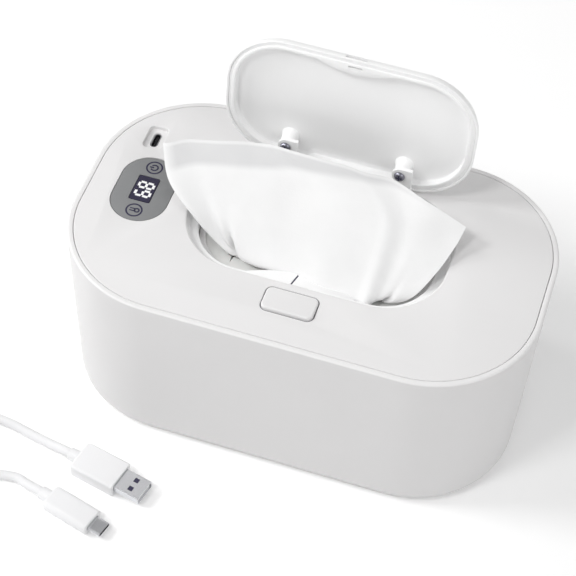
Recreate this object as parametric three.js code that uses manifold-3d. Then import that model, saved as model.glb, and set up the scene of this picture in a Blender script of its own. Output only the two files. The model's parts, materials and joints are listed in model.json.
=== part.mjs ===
// Baby wipe warmer: an insulated tub for a pack of wipes, closed by a heated cover with a
// dispensing mouth, a flip lid over the mouth, a touch display and a USB-C inlet, with its lead.
// Millimetres, +Z up. The origin is on the floor under the middle of the body, +X runs along
// its length, away from the display, and +Y runs to the back, where the lid is hinged.

import * as THREE from 'three';
import { mergeVertices } from 'three/addons/utils/BufferGeometryUtils.js';
import Module from 'manifold-3d';

const wasm = await Module();
wasm.setup();

// Driving dimensions of the body
const bodyLength = 225;
const bodyWidth = 135;
const bodyHeight = 98;
const bodyEndFlat = 29;
const bodyRadius = (bodyWidth - bodyEndFlat) / 2;
const sideDraft = 2.5;
const footHeight = 1.6;

// Driving dimensions of the cover, its mouth and the lid
const coverDepth = 14.1;
const mouthMargin = { left: 52.5, right: 48.5, front: 36.5, back: 26.5 };
const mouthEndFlat = 12;
const mouthLength = bodyLength - mouthMargin.left - mouthMargin.right;
const mouthWidth = bodyWidth - mouthMargin.front - mouthMargin.back;
const mouthRadius = (mouthWidth - mouthEndFlat) / 2;
const mouthCentreX = (mouthMargin.left - mouthMargin.right) / 2;
const mouthCentreY = (mouthMargin.front - mouthMargin.back) / 2;
const lidGap = 1.7;
const lidOpenAngle = THREE.MathUtils.degToRad(95);

// Clearances that many pieces share
const fit = 0.3;
const runningGap = 0.2;
const panelGap = 0.4;
const overrun = 1;

// Facet counts of the round stretches
const cornerSteps = 8;
const hiddenCornerSteps = 4;
const edgeSteps = 3;
const roundSteps = 16;
const smallRoundSteps = 12;
const springSides = 4;

// Materials, with colours and finish from the object
const finishes = {
  shell: { color: 0xf1f0f0, roughness: 0.42, metalness: 0 },
  cover: { color: 0xf3f2f2, roughness: 0.45, metalness: 0 },
  lid: { color: 0xf4f4f4, roughness: 0.35, metalness: 0 },
  tub: { color: 0xececea, roughness: 0.4, metalness: 0 },
  silicone: { color: 0xf2f2f0, roughness: 0.6, metalness: 0 },
  foam: { color: 0xd9d9d6, roughness: 0.95, metalness: 0 },
  foot: { color: 0x9b9b9b, roughness: 0.85, metalness: 0 },
  steel: { color: 0xc4c6c8, roughness: 0.28, metalness: 1 },
  lens: { color: 0x858788, roughness: 0.3, metalness: 0 },
  display: { color: 0x25243a, roughness: 0.25, metalness: 0 },
  board: { color: 0x1f6b45, roughness: 0.5, metalness: 0 },
  blackPlastic: { color: 0x17171b, roughness: 0.45, metalness: 0 },
  aluminium: { color: 0xc9cbcd, roughness: 0.4, metalness: 1 },
  film: { color: 0xb5651d, roughness: 0.5, metalness: 0 },
  wire: { color: 0xb02a26, roughness: 0.5, metalness: 0 },
  cloth: { color: 0xfafafa, roughness: 0.95, metalness: 0 },
  cable: { color: 0xf0f0f0, roughness: 0.5, metalness: 0 },
};

const product = new THREE.Group();

// Adds one named piece to a group, with a material of its own
function addPiece(name, geometry, finish, parent = product) {
  const mesh = new THREE.Mesh(geometry, new THREE.MeshStandardMaterial(finishes[finish]));
  mesh.name = name;
  parent.add(mesh);
  return mesh;
}

// Merges shared corners and drops the triangles that this leaves without area
function weld(geometry) {
  const bare = geometry.clone();
  bare.deleteAttribute('normal');
  bare.deleteAttribute('uv');
  const merged = mergeVertices(bare);
  const source = merged.index.array;
  const kept = [];
  for (let i = 0; i < source.length; i += 3) {
    const [a, b, c] = [source[i], source[i + 1], source[i + 2]];
    if (a !== b && b !== c && c !== a) kept.push(a, b, c);
  }
  merged.setIndex(kept);
  return merged;
}

function toSolid(geometry) {
  const welded = weld(geometry);
  return new wasm.Manifold(new wasm.Mesh({
    numProp: 3,
    vertProperties: new Float32Array(welded.attributes.position.array),
    triVerts: new Uint32Array(welded.index.array),
  }));
}

function toGeometry(solid) {
  const mesh = solid.getMesh();
  const geometry = new THREE.BufferGeometry();
  geometry.setAttribute('position', new THREE.BufferAttribute(new Float32Array(mesh.vertProperties), 3));
  geometry.setIndex(Array.from(mesh.triVerts));
  return geometry;
}

function join(first, ...others) {
  const whole = others.reduce((sum, piece) => sum.add(toSolid(piece)), toSolid(first));
  return toGeometry(whole);
}

function cut(base, ...tools) {
  const rest = tools.reduce((left, tool) => left.subtract(toSolid(tool)), toSolid(base));
  return toGeometry(rest);
}

function common(first, second) {
  return toGeometry(toSolid(first).intersect(toSolid(second)));
}

// A closed surface from rings of points, with its faces turned outward. An open run of rings is capped
// round the given centres, or without them straight across, as the two ends of a flat sheet are
function skin(rings, closeRings, capCentres) {
  const count = rings[0].length;
  const positions = rings.flat().flatMap((point) => [point.x, point.y, point.z]);
  const index = [];
  const bands = closeRings ? rings.length : rings.length - 1;
  for (let i = 0; i < bands; i += 1) {
    const here = i * count;
    const next = ((i + 1) % rings.length) * count;
    for (let j = 0; j < count; j += 1) {
      const k = (j + 1) % count;
      index.push(here + j, here + k, next + k, here + j, next + k, next + j);
    }
  }
  if (!closeRings && !capCentres) {
    [0, (rings.length - 1) * count].forEach((ring) => {
      for (let j = 0; j < count / 2 - 1; j += 1) {
        const corners = [ring + j, ring + j + 1, ring + count - 2 - j, ring + count - 1 - j];
        if (ring === 0) corners.reverse();
        index.push(corners[0], corners[1], corners[2], corners[0], corners[2], corners[3]);
      }
    });
  }
  if (!closeRings && capCentres) {
    capCentres.forEach((centre, end) => {
      const ring = end === 0 ? 0 : (rings.length - 1) * count;
      const middle = positions.length / 3;
      positions.push(centre.x, centre.y, centre.z);
      for (let j = 0; j < count; j += 1) {
        const k = (j + 1) % count;
        if (end === 0) index.push(middle, ring + k, ring + j);
        else index.push(middle, ring + j, ring + k);
      }
    });
  }
  const geometry = new THREE.BufferGeometry();
  geometry.setAttribute('position', new THREE.Float32BufferAttribute(positions, 3));
  geometry.setIndex(index);
  if (signedVolume(geometry) < 0) {
    for (let i = 0; i < index.length; i += 3) [index[i + 1], index[i + 2]] = [index[i + 2], index[i + 1]];
    geometry.setIndex(index);
  }
  return weld(geometry);
}

function signedVolume(geometry) {
  const position = geometry.attributes.position;
  const index = geometry.index.array;
  const corners = [new THREE.Vector3(), new THREE.Vector3(), new THREE.Vector3()];
  let volume = 0;
  for (let i = 0; i < index.length; i += 3) {
    corners.forEach((corner, j) => corner.fromBufferAttribute(position, index[i + j]));
    volume += corners[0].dot(corners[1].clone().cross(corners[2])) / 6;
  }
  return volume;
}

// A rounded rectangle that gives its points at any inset from its edge
function roundedOutline(length, width, radius, centreX = 0, centreY = 0, steps = cornerSteps) {
  const outline = (inset) => {
    const halfX = length / 2 - inset;
    const halfY = width / 2 - inset;
    const r = Math.min(Math.max(radius - inset, fit), halfX, halfY);
    const points = [];
    for (let corner = 0; corner < 4; corner += 1) {
      const signX = corner === 0 || corner === 3 ? 1 : -1;
      const signY = corner < 2 ? 1 : -1;
      for (let step = 0; step <= steps; step += 1) {
        const angle = (corner + step / steps) * Math.PI / 2;
        points.push(new THREE.Vector2(
          centreX + signX * (halfX - r) + r * Math.cos(angle),
          centreY + signY * (halfY - r) + r * Math.sin(angle),
        ));
      }
    }
    return points;
  };
  outline.centre = new THREE.Vector2(centreX, centreY);
  return outline;
}

const atHeight = (points, z) => points.map((point) => new THREE.Vector3(point.x, point.y, z));

// A ring-shaped solid: a closed profile of [inset, height] carried round an outline
function ringSolid(outline, profile) {
  return skin(profile.map(([inset, z]) => atHeight(outline(inset), z)), true);
}

// A solid from the first [inset, height] to the last, closed flat at both
function stackSolid(outline, profile) {
  const rings = profile.map(([inset, z]) => atHeight(outline(inset), z));
  const ends = [profile[0], profile[profile.length - 1]];
  return skin(rings, false, ends.map(([, z]) => new THREE.Vector3(outline.centre.x, outline.centre.y, z)));
}

const slab = (outline, inset, low, high) => stackSolid(outline, [[inset, low], [inset, high]]);

function band(outline, insetOuter, insetInner, low, high) {
  return ringSolid(outline, [[insetOuter, low], [insetOuter, high], [insetInner, high], [insetInner, low]]);
}

// A quarter round in a profile, from one angle to another, in degrees
function roundEdge(inset, z, radius, from, to) {
  return Array.from({ length: edgeSteps + 1 }, (_, step) => {
    const angle = THREE.MathUtils.degToRad(from + (to - from) * step / edgeSteps);
    return [inset + radius * Math.cos(angle), z + radius * Math.sin(angle)];
  });
}

function block(lowX, highX, lowY, highY, lowZ, highZ) {
  const geometry = new THREE.BoxGeometry(highX - lowX, highY - lowY, highZ - lowZ);
  return geometry.translate((lowX + highX) / 2, (lowY + highY) / 2, (lowZ + highZ) / 2);
}

function rod(x, y, radius, low, high, steps = roundSteps) {
  const geometry = new THREE.CylinderGeometry(radius, radius, high - low, steps);
  return geometry.rotateX(Math.PI / 2).translate(x, y, (low + high) / 2);
}

function rodAlongX(y, z, radius, low, high, steps = roundSteps) {
  const geometry = new THREE.CylinderGeometry(radius, radius, high - low, steps);
  return geometry.rotateZ(Math.PI / 2).translate((low + high) / 2, y, z);
}

// A turned piece standing at a place, from [radius, height] pairs that start and end on the axis
function turned(x, y, profile, steps = roundSteps) {
  const points = profile.map(([radius, z]) => new THREE.Vector2(radius, z));
  const geometry = new THREE.LatheGeometry(points, steps).rotateX(Math.PI / 2);
  return skinOutward(geometry).translate(x, y, 0);
}

function skinOutward(geometry) {
  const welded = weld(geometry);
  if (signedVolume(welded) < 0) {
    const index = Array.from(welded.index.array);
    for (let i = 0; i < index.length; i += 3) [index[i + 1], index[i + 2]] = [index[i + 2], index[i + 1]];
    welded.setIndex(index);
  }
  return welded;
}

// A flat plate between two x values, from an outline drawn in y and z
function plateAlongX(shape, low, high) {
  const settings = { depth: high - low, bevelEnabled: false, curveSegments: smallRoundSteps };
  const geometry = new THREE.ExtrudeGeometry(shape, settings);
  const turn = new THREE.Matrix4().makeBasis(
    new THREE.Vector3(0, 1, 0), new THREE.Vector3(0, 0, 1), new THREE.Vector3(1, 0, 0));
  return skinOutward(geometry.applyMatrix4(turn).translate(low, 0, 0));
}

// A round tube through points, with flat ends, carried on frames that don't twist
function wound(points, radius, sides) {
  const count = points.length;
  const tangents = points.map((point, i) => points[Math.min(i + 1, count - 1)].clone()
    .sub(points[Math.max(i - 1, 0)]).normalize());
  let normal = new THREE.Vector3(0, 0, 1).cross(tangents[0]).normalize();
  if (normal.lengthSq() < runningGap) normal = new THREE.Vector3(1, 0, 0);
  const rings = points.map((point, i) => {
    normal = normal.clone().addScaledVector(tangents[i], -normal.dot(tangents[i])).normalize();
    const side = tangents[i].clone().cross(normal);
    return Array.from({ length: sides }, (_, j) => {
      const angle = (j + 1 / 2) / sides * 2 * Math.PI;
      return point.clone().addScaledVector(normal, radius * Math.cos(angle))
        .addScaledVector(side, radius * Math.sin(angle));
    });
  });
  return skin(rings, false, [points[0], points[count - 1]]);
}

// A compression spring standing at a place
function standingSpring(x, y, low, high, coilRadius, wireRadius, turns) {
  const stepsPerTurn = 8;
  const count = turns * stepsPerTurn;
  const points = Array.from({ length: count + 1 }, (_, i) => {
    const angle = i / stepsPerTurn * 2 * Math.PI;
    const z = low + wireRadius + (high - low - 2 * wireRadius) * i / count;
    return new THREE.Vector3(x + coilRadius * Math.cos(angle), y + coilRadius * Math.sin(angle), z);
  });
  return wound(points, wireRadius, springSides);
}

// A tube along a curve through points, as an extruded circle
function tube(points, radius, sides, steps) {
  const path = new THREE.CatmullRomCurve3(points.map((point) => new THREE.Vector3(...point)));
  const section = new THREE.Shape();
  section.absarc(0, 0, radius, 0, 2 * Math.PI);
  const settings = { steps, curveSegments: sides / 2, bevelEnabled: false, extrudePath: path };
  return new THREE.ExtrudeGeometry(section, settings);
}

// Outer shell: a drafted wall with a rounded foot edge, a rim that frames the cover, a ledge
// that carries the tub and a flange that the bottom plate clamps
const bodyOutline = roundedOutline(bodyLength, bodyWidth, bodyRadius);
const hiddenBodyOutline = roundedOutline(bodyLength, bodyWidth, bodyRadius, 0, 0, hiddenCornerSteps);
const shellWall = 2.4;
const rimWidth = 2.7;
const rimRound = 1.2;
const baseRound = 5;
const ledgeWidth = 3.8;
const ledgeThick = 3;
const ledgeSlope = 5;
const skirtWidth = 1.5;
const bottomFlangeReach = 16;
const bottomFlangeThick = 2;
const bottomRecess = 2.6;
const coverBottom = bodyHeight - coverDepth;
const sealHeight = 1;
const tubFlangeThick = 2;
const ledgeTop = coverBottom - 3 * fit - sealHeight - tubFlangeThick;
const flangeBottom = footHeight + bottomRecess;
const flangeTop = flangeBottom + bottomFlangeThick;
const skirtInset = sideDraft + baseRound + skirtWidth;
const outerInsetAt = (z) => sideDraft * (1 - z / bodyHeight);
const wallInsetAt = (z) => outerInsetAt(z) + shellWall;

function outerShell() {
  const slopeEnd = ledgeTop - ledgeThick - ledgeSlope;
  return ringSolid(bodyOutline, [
    ...roundEdge(sideDraft + baseRound, footHeight + baseRound, baseRound, 270, 180),
    ...roundEdge(rimRound, bodyHeight - rimRound, rimRound, 180, 90),
    [rimWidth, bodyHeight],
    [rimWidth, ledgeTop],
    [rimWidth + ledgeWidth, ledgeTop],
    [rimWidth + ledgeWidth, ledgeTop - ledgeThick],
    [wallInsetAt(slopeEnd), slopeEnd],
    [wallInsetAt(flangeTop), flangeTop],
    [bottomFlangeReach, flangeTop],
    [bottomFlangeReach, flangeBottom],
    [skirtInset, flangeBottom],
    [skirtInset, footHeight],
  ]);
}
addPiece('outer_shell', outerShell(), 'shell');

// Bottom plate, feet and the screws that clamp shell, plate and tub together
const plateBottom = footHeight + fit;
const plateTop = flangeBottom - fit;
const screwMargin = { end: 52.5, side: 37.5 };
const footMargin = { end: 34.5, side: 31.5 };
const fourPlaces = (margin) => [-1, 1].flatMap((back) => [-1, 1].map((right) => [
  right * (bodyLength / 2 - margin.end), back * (bodyWidth / 2 - margin.side)]));
const screwPlaces = fourPlaces(screwMargin);
const footPlaces = fourPlaces(footMargin);
const footRadius = 6;
const footSink = 0.8;
const screwHeadRadius = 3;
const screwHeadThick = 0.7;
const screwShankRadius = 1.1;
const screwHoleRadius = screwShankRadius + runningGap;

function bottomPlate() {
  const plate = slab(hiddenBodyOutline, skirtInset + fit, plateBottom, plateTop);
  const recesses = footPlaces.map(([x, y]) => rod(x, y, footRadius + fit, plateBottom - overrun,
    plateBottom + footSink));
  const holes = screwPlaces.flatMap(([x, y]) => [
    rod(x, y, screwHeadRadius + fit, plateBottom - overrun, plateBottom + screwHeadThick + fit),
    rod(x, y, screwHoleRadius, plateBottom - overrun, plateTop + overrun, smallRoundSteps),
  ]);
  return cut(plate, ...recesses, ...holes);
}
addPiece('bottom_plate', bottomPlate(), 'shell');

// Tub that holds the wipes, hung by its flange on the ledge of the shell
const tubInset = 14;
const tubWall = 1.8;
const tubFloorThick = 2;
const tubClearance = 1.8;
const tubDraft = 1.5;
const tubBase = flangeTop + tubClearance;
const tubFloor = tubBase + tubFloorThick;
const tubCornerRound = 6;
const tubFlangeBottom = ledgeTop + fit;
const tubFlangeTop = tubFlangeBottom + tubFlangeThick;
const bossRadius = 4;
const screwTop = tubFloor - tubFloorThick / 2;

function innerTub() {
  const outerLow = tubInset - tubWall + tubDraft;
  const cup = stackSolid(hiddenBodyOutline, [
    [outerLow + tubCornerRound, tubBase],
    ...roundEdge(outerLow + tubCornerRound, tubBase + tubCornerRound, tubCornerRound, 270, 180),
    [tubInset - tubWall, tubFlangeBottom],
    [rimWidth + fit, tubFlangeBottom],
    [rimWidth + fit, tubFlangeTop],
    [tubInset, tubFlangeTop],
    ...roundEdge(outerLow + tubWall + tubCornerRound, tubFloor + tubCornerRound, tubCornerRound, 180, 270),
    [outerLow + tubWall + tubCornerRound + overrun, tubFloor],
  ]);
  const bosses = screwPlaces.map(([x, y]) => rod(x, y, bossRadius, plateTop + fit,
    tubBase + tubFloorThick / 2));
  const holes = screwPlaces.map(([x, y]) => rod(x, y, screwHoleRadius, plateTop, screwTop, smallRoundSteps));
  return cut(join(cup, ...bosses), ...holes);
}
addPiece('inner_tub', innerTub(), 'tub');

const insulationThick = 6;
const insulationTop = ledgeTop - ledgeThick - ledgeSlope - fit;
const insulationBottom = flangeTop + fit;

function insulationSleeve() {
  const outerLow = wallInsetAt(insulationBottom) + fit;
  const outerHigh = wallInsetAt(insulationTop) + fit;
  return ringSolid(hiddenBodyOutline, [
    [outerLow, insulationBottom],
    [outerHigh, insulationTop],
    [outerHigh + insulationThick, insulationTop],
    [outerLow + insulationThick, insulationBottom],
  ]);
}
addPiece('insulation_sleeve', insulationSleeve(), 'foam');

const sideNames = ['front_left', 'front_right', 'back_left', 'back_right'];
footPlaces.forEach(([x, y], i) => {
  addPiece(`foot_${sideNames[i]}`, rod(x, y, footRadius, 0, plateBottom + footSink - fit), 'foot');
});
screwPlaces.forEach(([x, y], i) => {
  addPiece(`base_screw_${sideNames[i]}`, turned(x, y, [
    [0, plateBottom],
    [screwHeadRadius, plateBottom],
    [screwHeadRadius, plateBottom + screwHeadThick],
    [screwShankRadius, plateBottom + screwHeadThick],
    [screwShankRadius, screwTop - fit],
    [0, screwTop - fit],
  ], smallRoundSteps), 'steel');
});

// Seal between the flange of the tub and the cover
const sealInset = 6.6;
const sealWidth = 2.4;
const sealBottom = tubFlangeTop + fit;
addPiece('tub_seal', band(hiddenBodyOutline, sealInset, sealInset + sealWidth, sealBottom,
  sealBottom + sealHeight), 'silicone');

// Everything below lifts off with the cover
const cover = new THREE.Group();
product.add(cover);

// Top cover: a panel with a skirt, whose mouth steps down to a ledge for the lid and a throat
const panelThick = 2.6;
const coverInset = rimWidth + panelGap;
const coverSkirt = 2;
const coverRound = 0.6;
const mouthOutline = roundedOutline(mouthLength, mouthWidth, mouthRadius, mouthCentreX, mouthCentreY);
const panelUnder = bodyHeight - panelThick;
const mouthLedgeDepth = 6;
const mouthLedgeThick = 2;
const mouthLedgeWidth = 5.5;
const mouthWall = 2;
const mouthFlare = 0.8;
const throatWall = 1.6;
const throatDepth = 16.5;
const lipReach = 2.5;
const lipThick = 1.5;
const mouthLedge = bodyHeight - mouthLedgeDepth;
const throatBottom = bodyHeight - throatDepth;
const lipTop = throatBottom + lipThick;
const mouthFront = mouthCentreY - mouthWidth / 2;
const mouthBack = mouthCentreY + mouthWidth / 2;

// Crescent lip at the front of the mouth, which the latch end of the lid comes down on
const crescentLength = 40;
const crescentDepth = 6.3;
const reliefSlitWidth = 0.8;
const reliefSlitSide = 4.4;
const reliefSlitStart = 1.8;
const reliefSlitTilt = THREE.MathUtils.degToRad(-14.8);

// A segment of a circle that bulges along +y from a chord, as a flat slab
function crescent(x, chordY, length, depth, root, low, high) {
  const radius = length * length / (8 * depth) + depth / 2;
  const half = Math.asin(length / 2 / radius);
  const shape = new THREE.Shape();
  shape.moveTo(x + length / 2, chordY - root);
  shape.lineTo(x + length / 2, chordY);
  shape.absarc(x, chordY + depth - radius, radius, Math.PI / 2 - half, Math.PI / 2 + half, false);
  shape.lineTo(x - length / 2, chordY - root);
  const geometry = new THREE.ExtrudeGeometry(shape, {
    depth: high - low, bevelEnabled: false, curveSegments: smallRoundSteps });
  return skinOutward(geometry.translate(0, 0, low));
}

// Release button, proud of the panel in front of the mouth
const buttonLength = 24.5;
const buttonWidthShare = 0.3726;
const buttonWidth = mouthMargin.front * buttonWidthShare;
const buttonRadius = 3;
const buttonPlaceShare = 0.69;
const buttonCentreY = -bodyWidth / 2 + mouthMargin.front * buttonPlaceShare;
const buttonGap = 0.55;
const buttonProud = 1.7;
const buttonTravel = 1.6;
const buttonWall = 1.4;
const buttonCeiling = 1.5;
const buttonSkirt = 2.8;
const buttonBevel = 0.8;
const buttonOutline = roundedOutline(buttonLength, buttonWidth, buttonRadius, mouthCentreX, buttonCentreY,
  hiddenCornerSteps);
const buttonTop = bodyHeight + buttonProud;
const buttonBack = buttonCentreY + buttonWidth / 2;
const buttonFront = buttonCentreY - buttonWidth / 2;
const buttonBottom = bodyHeight - buttonSkirt;

// Latch: a slide under the panel whose nose stands in the front wall of the mouth, and which
// the wedge foot of the button draws back
const slideHalfWidth = 4.5;
const slideThick = 1.2;
const slideTop = panelUnder - runningGap;
const slideBottom = slideTop - slideThick;
const noseReach = lidGap + 0.2;
const slideTail = 4;
const slideFront = buttonFront - slideTail;
const wedgeHalfWidth = 2.6;
const wedgeDepth = 5;
const wedgeBack = buttonCentreY + wedgeDepth / 2;
const wedgeBottom = slideTop - 2 * fit;
const railWidth = 1.2;
const railLip = 1;
const railLength = 3;

// Hinge: two arms of the lid that turn on steel pins in pockets behind the mouth
const hingeSetback = 2.2;
const hingeDrop = 2.6;
const hingeY = mouthBack + hingeSetback;
const hingeZ = bodyHeight - hingeDrop;
const knuckleRadius = 2.2;
const pinRadius = 1;
const hingeSpanShare = 0.2258;
const hingeHalfSpan = mouthLength * hingeSpanShare;
const armOffset = 3.2;
const armThick = 2.6;
const hingeSpringLength = 3.6;
const pocketGap = 0.4;
const pinBossLength = 4;
const pocketWall = 1.2;
const pocketDepth = 11.1;
const pocketFloor = bodyHeight - pocketDepth;
const pocketFloorThick = 0.9;
const armX = [-1, 1].map((side) => mouthCentreX + side * hingeHalfSpan);
const pocketLow = (x) => x + armOffset - pocketGap - hingeSpringLength - pocketGap;
const pocketHigh = (x) => x + armOffset + armThick + pocketGap;
const pocketBack = hingeY + knuckleRadius + pocketGap;

// Display lens, let into the panel at the left, and the USB-C inlet behind it
const lensPlaceShare = 0.5467;
const lensLengthShare = 0.3007;
const lensX = -bodyLength / 2 + mouthMargin.left * lensPlaceShare;
const lensY = 1;
const lensLength = bodyWidth * lensLengthShare;
const lensWidth = 27.2;
const lensThick = 1.2;
const lensSink = 0.1;
const windowLength = 15.9;
const windowWidth = 10.4;
const portPlaceShares = [0.421, 0.2533];
const portX = -bodyLength / 2 + mouthMargin.left * portPlaceShares[0];
const portY = bodyWidth * portPlaceShares[1];
const portLength = 14.6;
const portWidth = 9.4;
const portRadius = 2.4;
const portDepth = 2;
const portFloorThick = 1.4;
const socketLength = 9;
const socketWidth = 3.3;
const lensOutline = roundedOutline(lensWidth, lensLength, lensWidth / 2, lensX, lensY);
const windowOutline = roundedOutline(windowWidth, windowLength, fit, lensX, lensY, 1);
const portOutline = roundedOutline(portWidth, portLength, portRadius, portX, portY, hiddenCornerSteps);
const socketOutline = roundedOutline(socketWidth, socketLength, socketWidth / 2, portX, portY,
  hiddenCornerSteps);
const portFloor = bodyHeight - portDepth;

const coverScrewMargin = { end: 67.5, side: 11.5 };
const coverScrewPlaces = fourPlaces(coverScrewMargin);
const coverBossRadius = 3;
const coverScrewRadius = 1;
const coverScrewHead = 2.3;
const coverScrewReach = 8;
const innerCoverThick = 1.8;
const innerCoverTop = coverBottom + innerCoverThick;

function pinBlocks(x) {
  const low = panelUnder - pinRadius - pocketWall;
  const depth = hingeY + knuckleRadius + pocketGap + pocketWall;
  return [
    block(pocketLow(x) - pinBossLength, pocketLow(x), mouthBack, depth, low, panelUnder + overrun),
    block(pocketHigh(x), pocketHigh(x) + pinBossLength, mouthBack, depth, low, panelUnder + overrun),
    block(pocketLow(x) - pocketWall, pocketHigh(x) + pocketWall, mouthBack - mouthLedgeWidth, depth,
      pocketFloor - pocketFloorThick, mouthLedge - mouthLedgeThick / 2),
    block(pocketLow(x) - pocketWall, pocketHigh(x) + pocketWall, mouthBack + mouthFlare, depth,
      pocketFloor - pocketFloorThick, panelUnder + overrun),
  ];
}

function pocketCuts(x) {
  const pinEnd = pinBossLength + overrun;
  return [
    block(pocketLow(x), pocketHigh(x), mouthBack - mouthLedgeWidth - overrun, pocketBack,
      pocketFloor, bodyHeight + overrun),
    rodAlongX(hingeY, hingeZ, pinRadius + runningGap, pocketLow(x) - pinEnd, pocketHigh(x) + pinEnd,
      smallRoundSteps),
  ];
}

function latchRails() {
  const rail = (side, low, high) => {
    const inner = mouthCentreX + side * (slideHalfWidth + fit);
    const outer = inner + side * railWidth;
    const lip = inner - side * railLip;
    const bottom = slideBottom - fit - railLip;
    return [
      block(Math.min(inner, outer), Math.max(inner, outer), low, high, bottom, panelUnder + overrun),
      block(Math.min(lip, outer), Math.max(lip, outer), low, high, bottom, slideBottom - fit),
    ];
  };
  const backLow = buttonBack + buttonGap;
  const frontHigh = buttonFront - buttonGap;
  return [-1, 1].flatMap((side) => [
    ...rail(side, backLow, mouthFront - mouthWall + fit),
    ...rail(side, frontHigh - railLength, frontHigh),
  ]);
}

function topCover() {
  const tray = stackSolid(bodyOutline, [
    [coverInset, coverBottom],
    [coverInset, bodyHeight - coverRound],
    ...roundEdge(coverInset + coverRound, bodyHeight - coverRound, coverRound, 180, 90),
  ]);
  const hollow = slab(bodyOutline, coverInset + coverSkirt, coverBottom - overrun, panelUnder);
  const mouthHole = slab(mouthOutline, 0, panelUnder - overrun, bodyHeight + overrun);
  const throatOuter = mouthLedgeWidth - throatWall;
  const bowl = ringSolid(mouthOutline, [
    [-mouthWall, panelUnder + overrun],
    [-mouthWall, mouthLedge - mouthLedgeThick],
    [throatOuter, mouthLedge - mouthLedgeThick],
    [throatOuter, throatBottom],
    [mouthLedgeWidth + lipReach, throatBottom],
    [mouthLedgeWidth + lipReach, lipTop],
    [mouthLedgeWidth, lipTop],
    [mouthLedgeWidth, mouthLedge],
    [2 * mouthFlare, mouthLedge],
    [mouthFlare, mouthLedge + mouthFlare],
    [0, panelUnder + overrun],
  ]);
  const lip = crescent(mouthCentreX, mouthFront + mouthLedgeWidth, crescentLength, crescentDepth, throatWall,
    mouthLedge - mouthLedgeThick, mouthLedge);
  const bosses = coverScrewPlaces.map(([x, y]) => rod(x, y, coverBossRadius, innerCoverTop + fit,
    panelUnder + overrun, smallRoundSteps));
  const portTray = slab(portOutline, -portFloorThick, portFloor - portFloorThick, panelUnder + overrun);
  const whole = join(cut(tray, hollow, mouthHole), bowl, lip, portTray, ...bosses, ...latchRails(),
    ...armX.flatMap(pinBlocks));
  const slit = block(-reliefSlitWidth / 2, reliefSlitWidth / 2, 0, reliefSlitStart + crescentDepth + overrun,
    mouthLedge - mouthLedgeThick - overrun, mouthLedge + overrun).rotateZ(reliefSlitTilt)
    .translate(mouthCentreX - reliefSlitSide, mouthFront + mouthLedgeWidth - reliefSlitStart, 0);
  const tools = [
    slab(lensOutline, -fit, bodyHeight - lensSink - lensThick - fit, bodyHeight + overrun),
    slab(windowOutline, -fit, panelUnder - overrun, bodyHeight + overrun),
    slab(portOutline, 0, portFloor, bodyHeight + overrun),
    slab(socketOutline, -fit, portFloor - 2 * portFloorThick, portFloor + overrun),
    slab(buttonOutline, -buttonGap, panelUnder - overrun, bodyHeight + overrun),
    block(mouthCentreX - slideHalfWidth - fit, mouthCentreX + slideHalfWidth + fit,
      mouthFront - mouthWall - overrun, mouthFront + overrun, slideBottom - fit, slideTop + runningGap),
    slit,
    ...coverScrewPlaces.map(([x, y]) => rod(x, y, coverScrewRadius + runningGap, innerCoverTop,
      innerCoverTop + coverScrewReach, smallRoundSteps)),
    ...armX.flatMap(pocketCuts),
  ];
  return cut(whole, ...tools);
}
addPiece('top_cover', topCover(), 'cover', cover);

// Inner cover: the underside of the cover, with a locating skirt that plugs into the tub
const plugInset = 14.8;
const plugWall = 1.8;
const plugDepth = 7;
const coverPlateInset = coverInset + coverSkirt + fit;
const throatHole = mouthLedgeWidth - throatWall - fit;
const hiddenMouthOutline = roundedOutline(mouthLength, mouthWidth, mouthRadius, mouthCentreX, mouthCentreY,
  cornerSteps);
const boardEndMargin = 15.5;
const boardMouthMargin = 7;
const boardDepthShares = [-0.178, 0.304];
const boardLow = [-bodyLength / 2 + boardEndMargin, bodyWidth * boardDepthShares[0]];
const boardHigh = [-bodyLength / 2 + mouthMargin.left - boardMouthMargin, bodyWidth * boardDepthShares[1]];
const boardThick = 1.6;
const boardClearance = 1;
const boardBottom = innerCoverTop + boardClearance + fit;
const boardTop = boardBottom + boardThick;
const standoffInset = 3;
const standoffRadius = 1.8;
const springHalfSpan = 8.6;
const springPlaces = [-1, 1].map((side) => mouthCentreX + side * springHalfSpan);
const springPegRadius = 1.2;
const springPegHeight = 3;
const sensorMargin = { mouth: 20, front: 20.5 };
const sensorPlace = [mouthCentreX - mouthLength / 2 + sensorMargin.mouth,
  -bodyWidth / 2 + sensorMargin.front];
const sensorRadius = 1.8;
const leadSpacing = 9;
const leadRadius = 0.9;
const leadPlace = [boardHigh[0] + leadRadius, boardLow[1] - leadSpacing];

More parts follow.
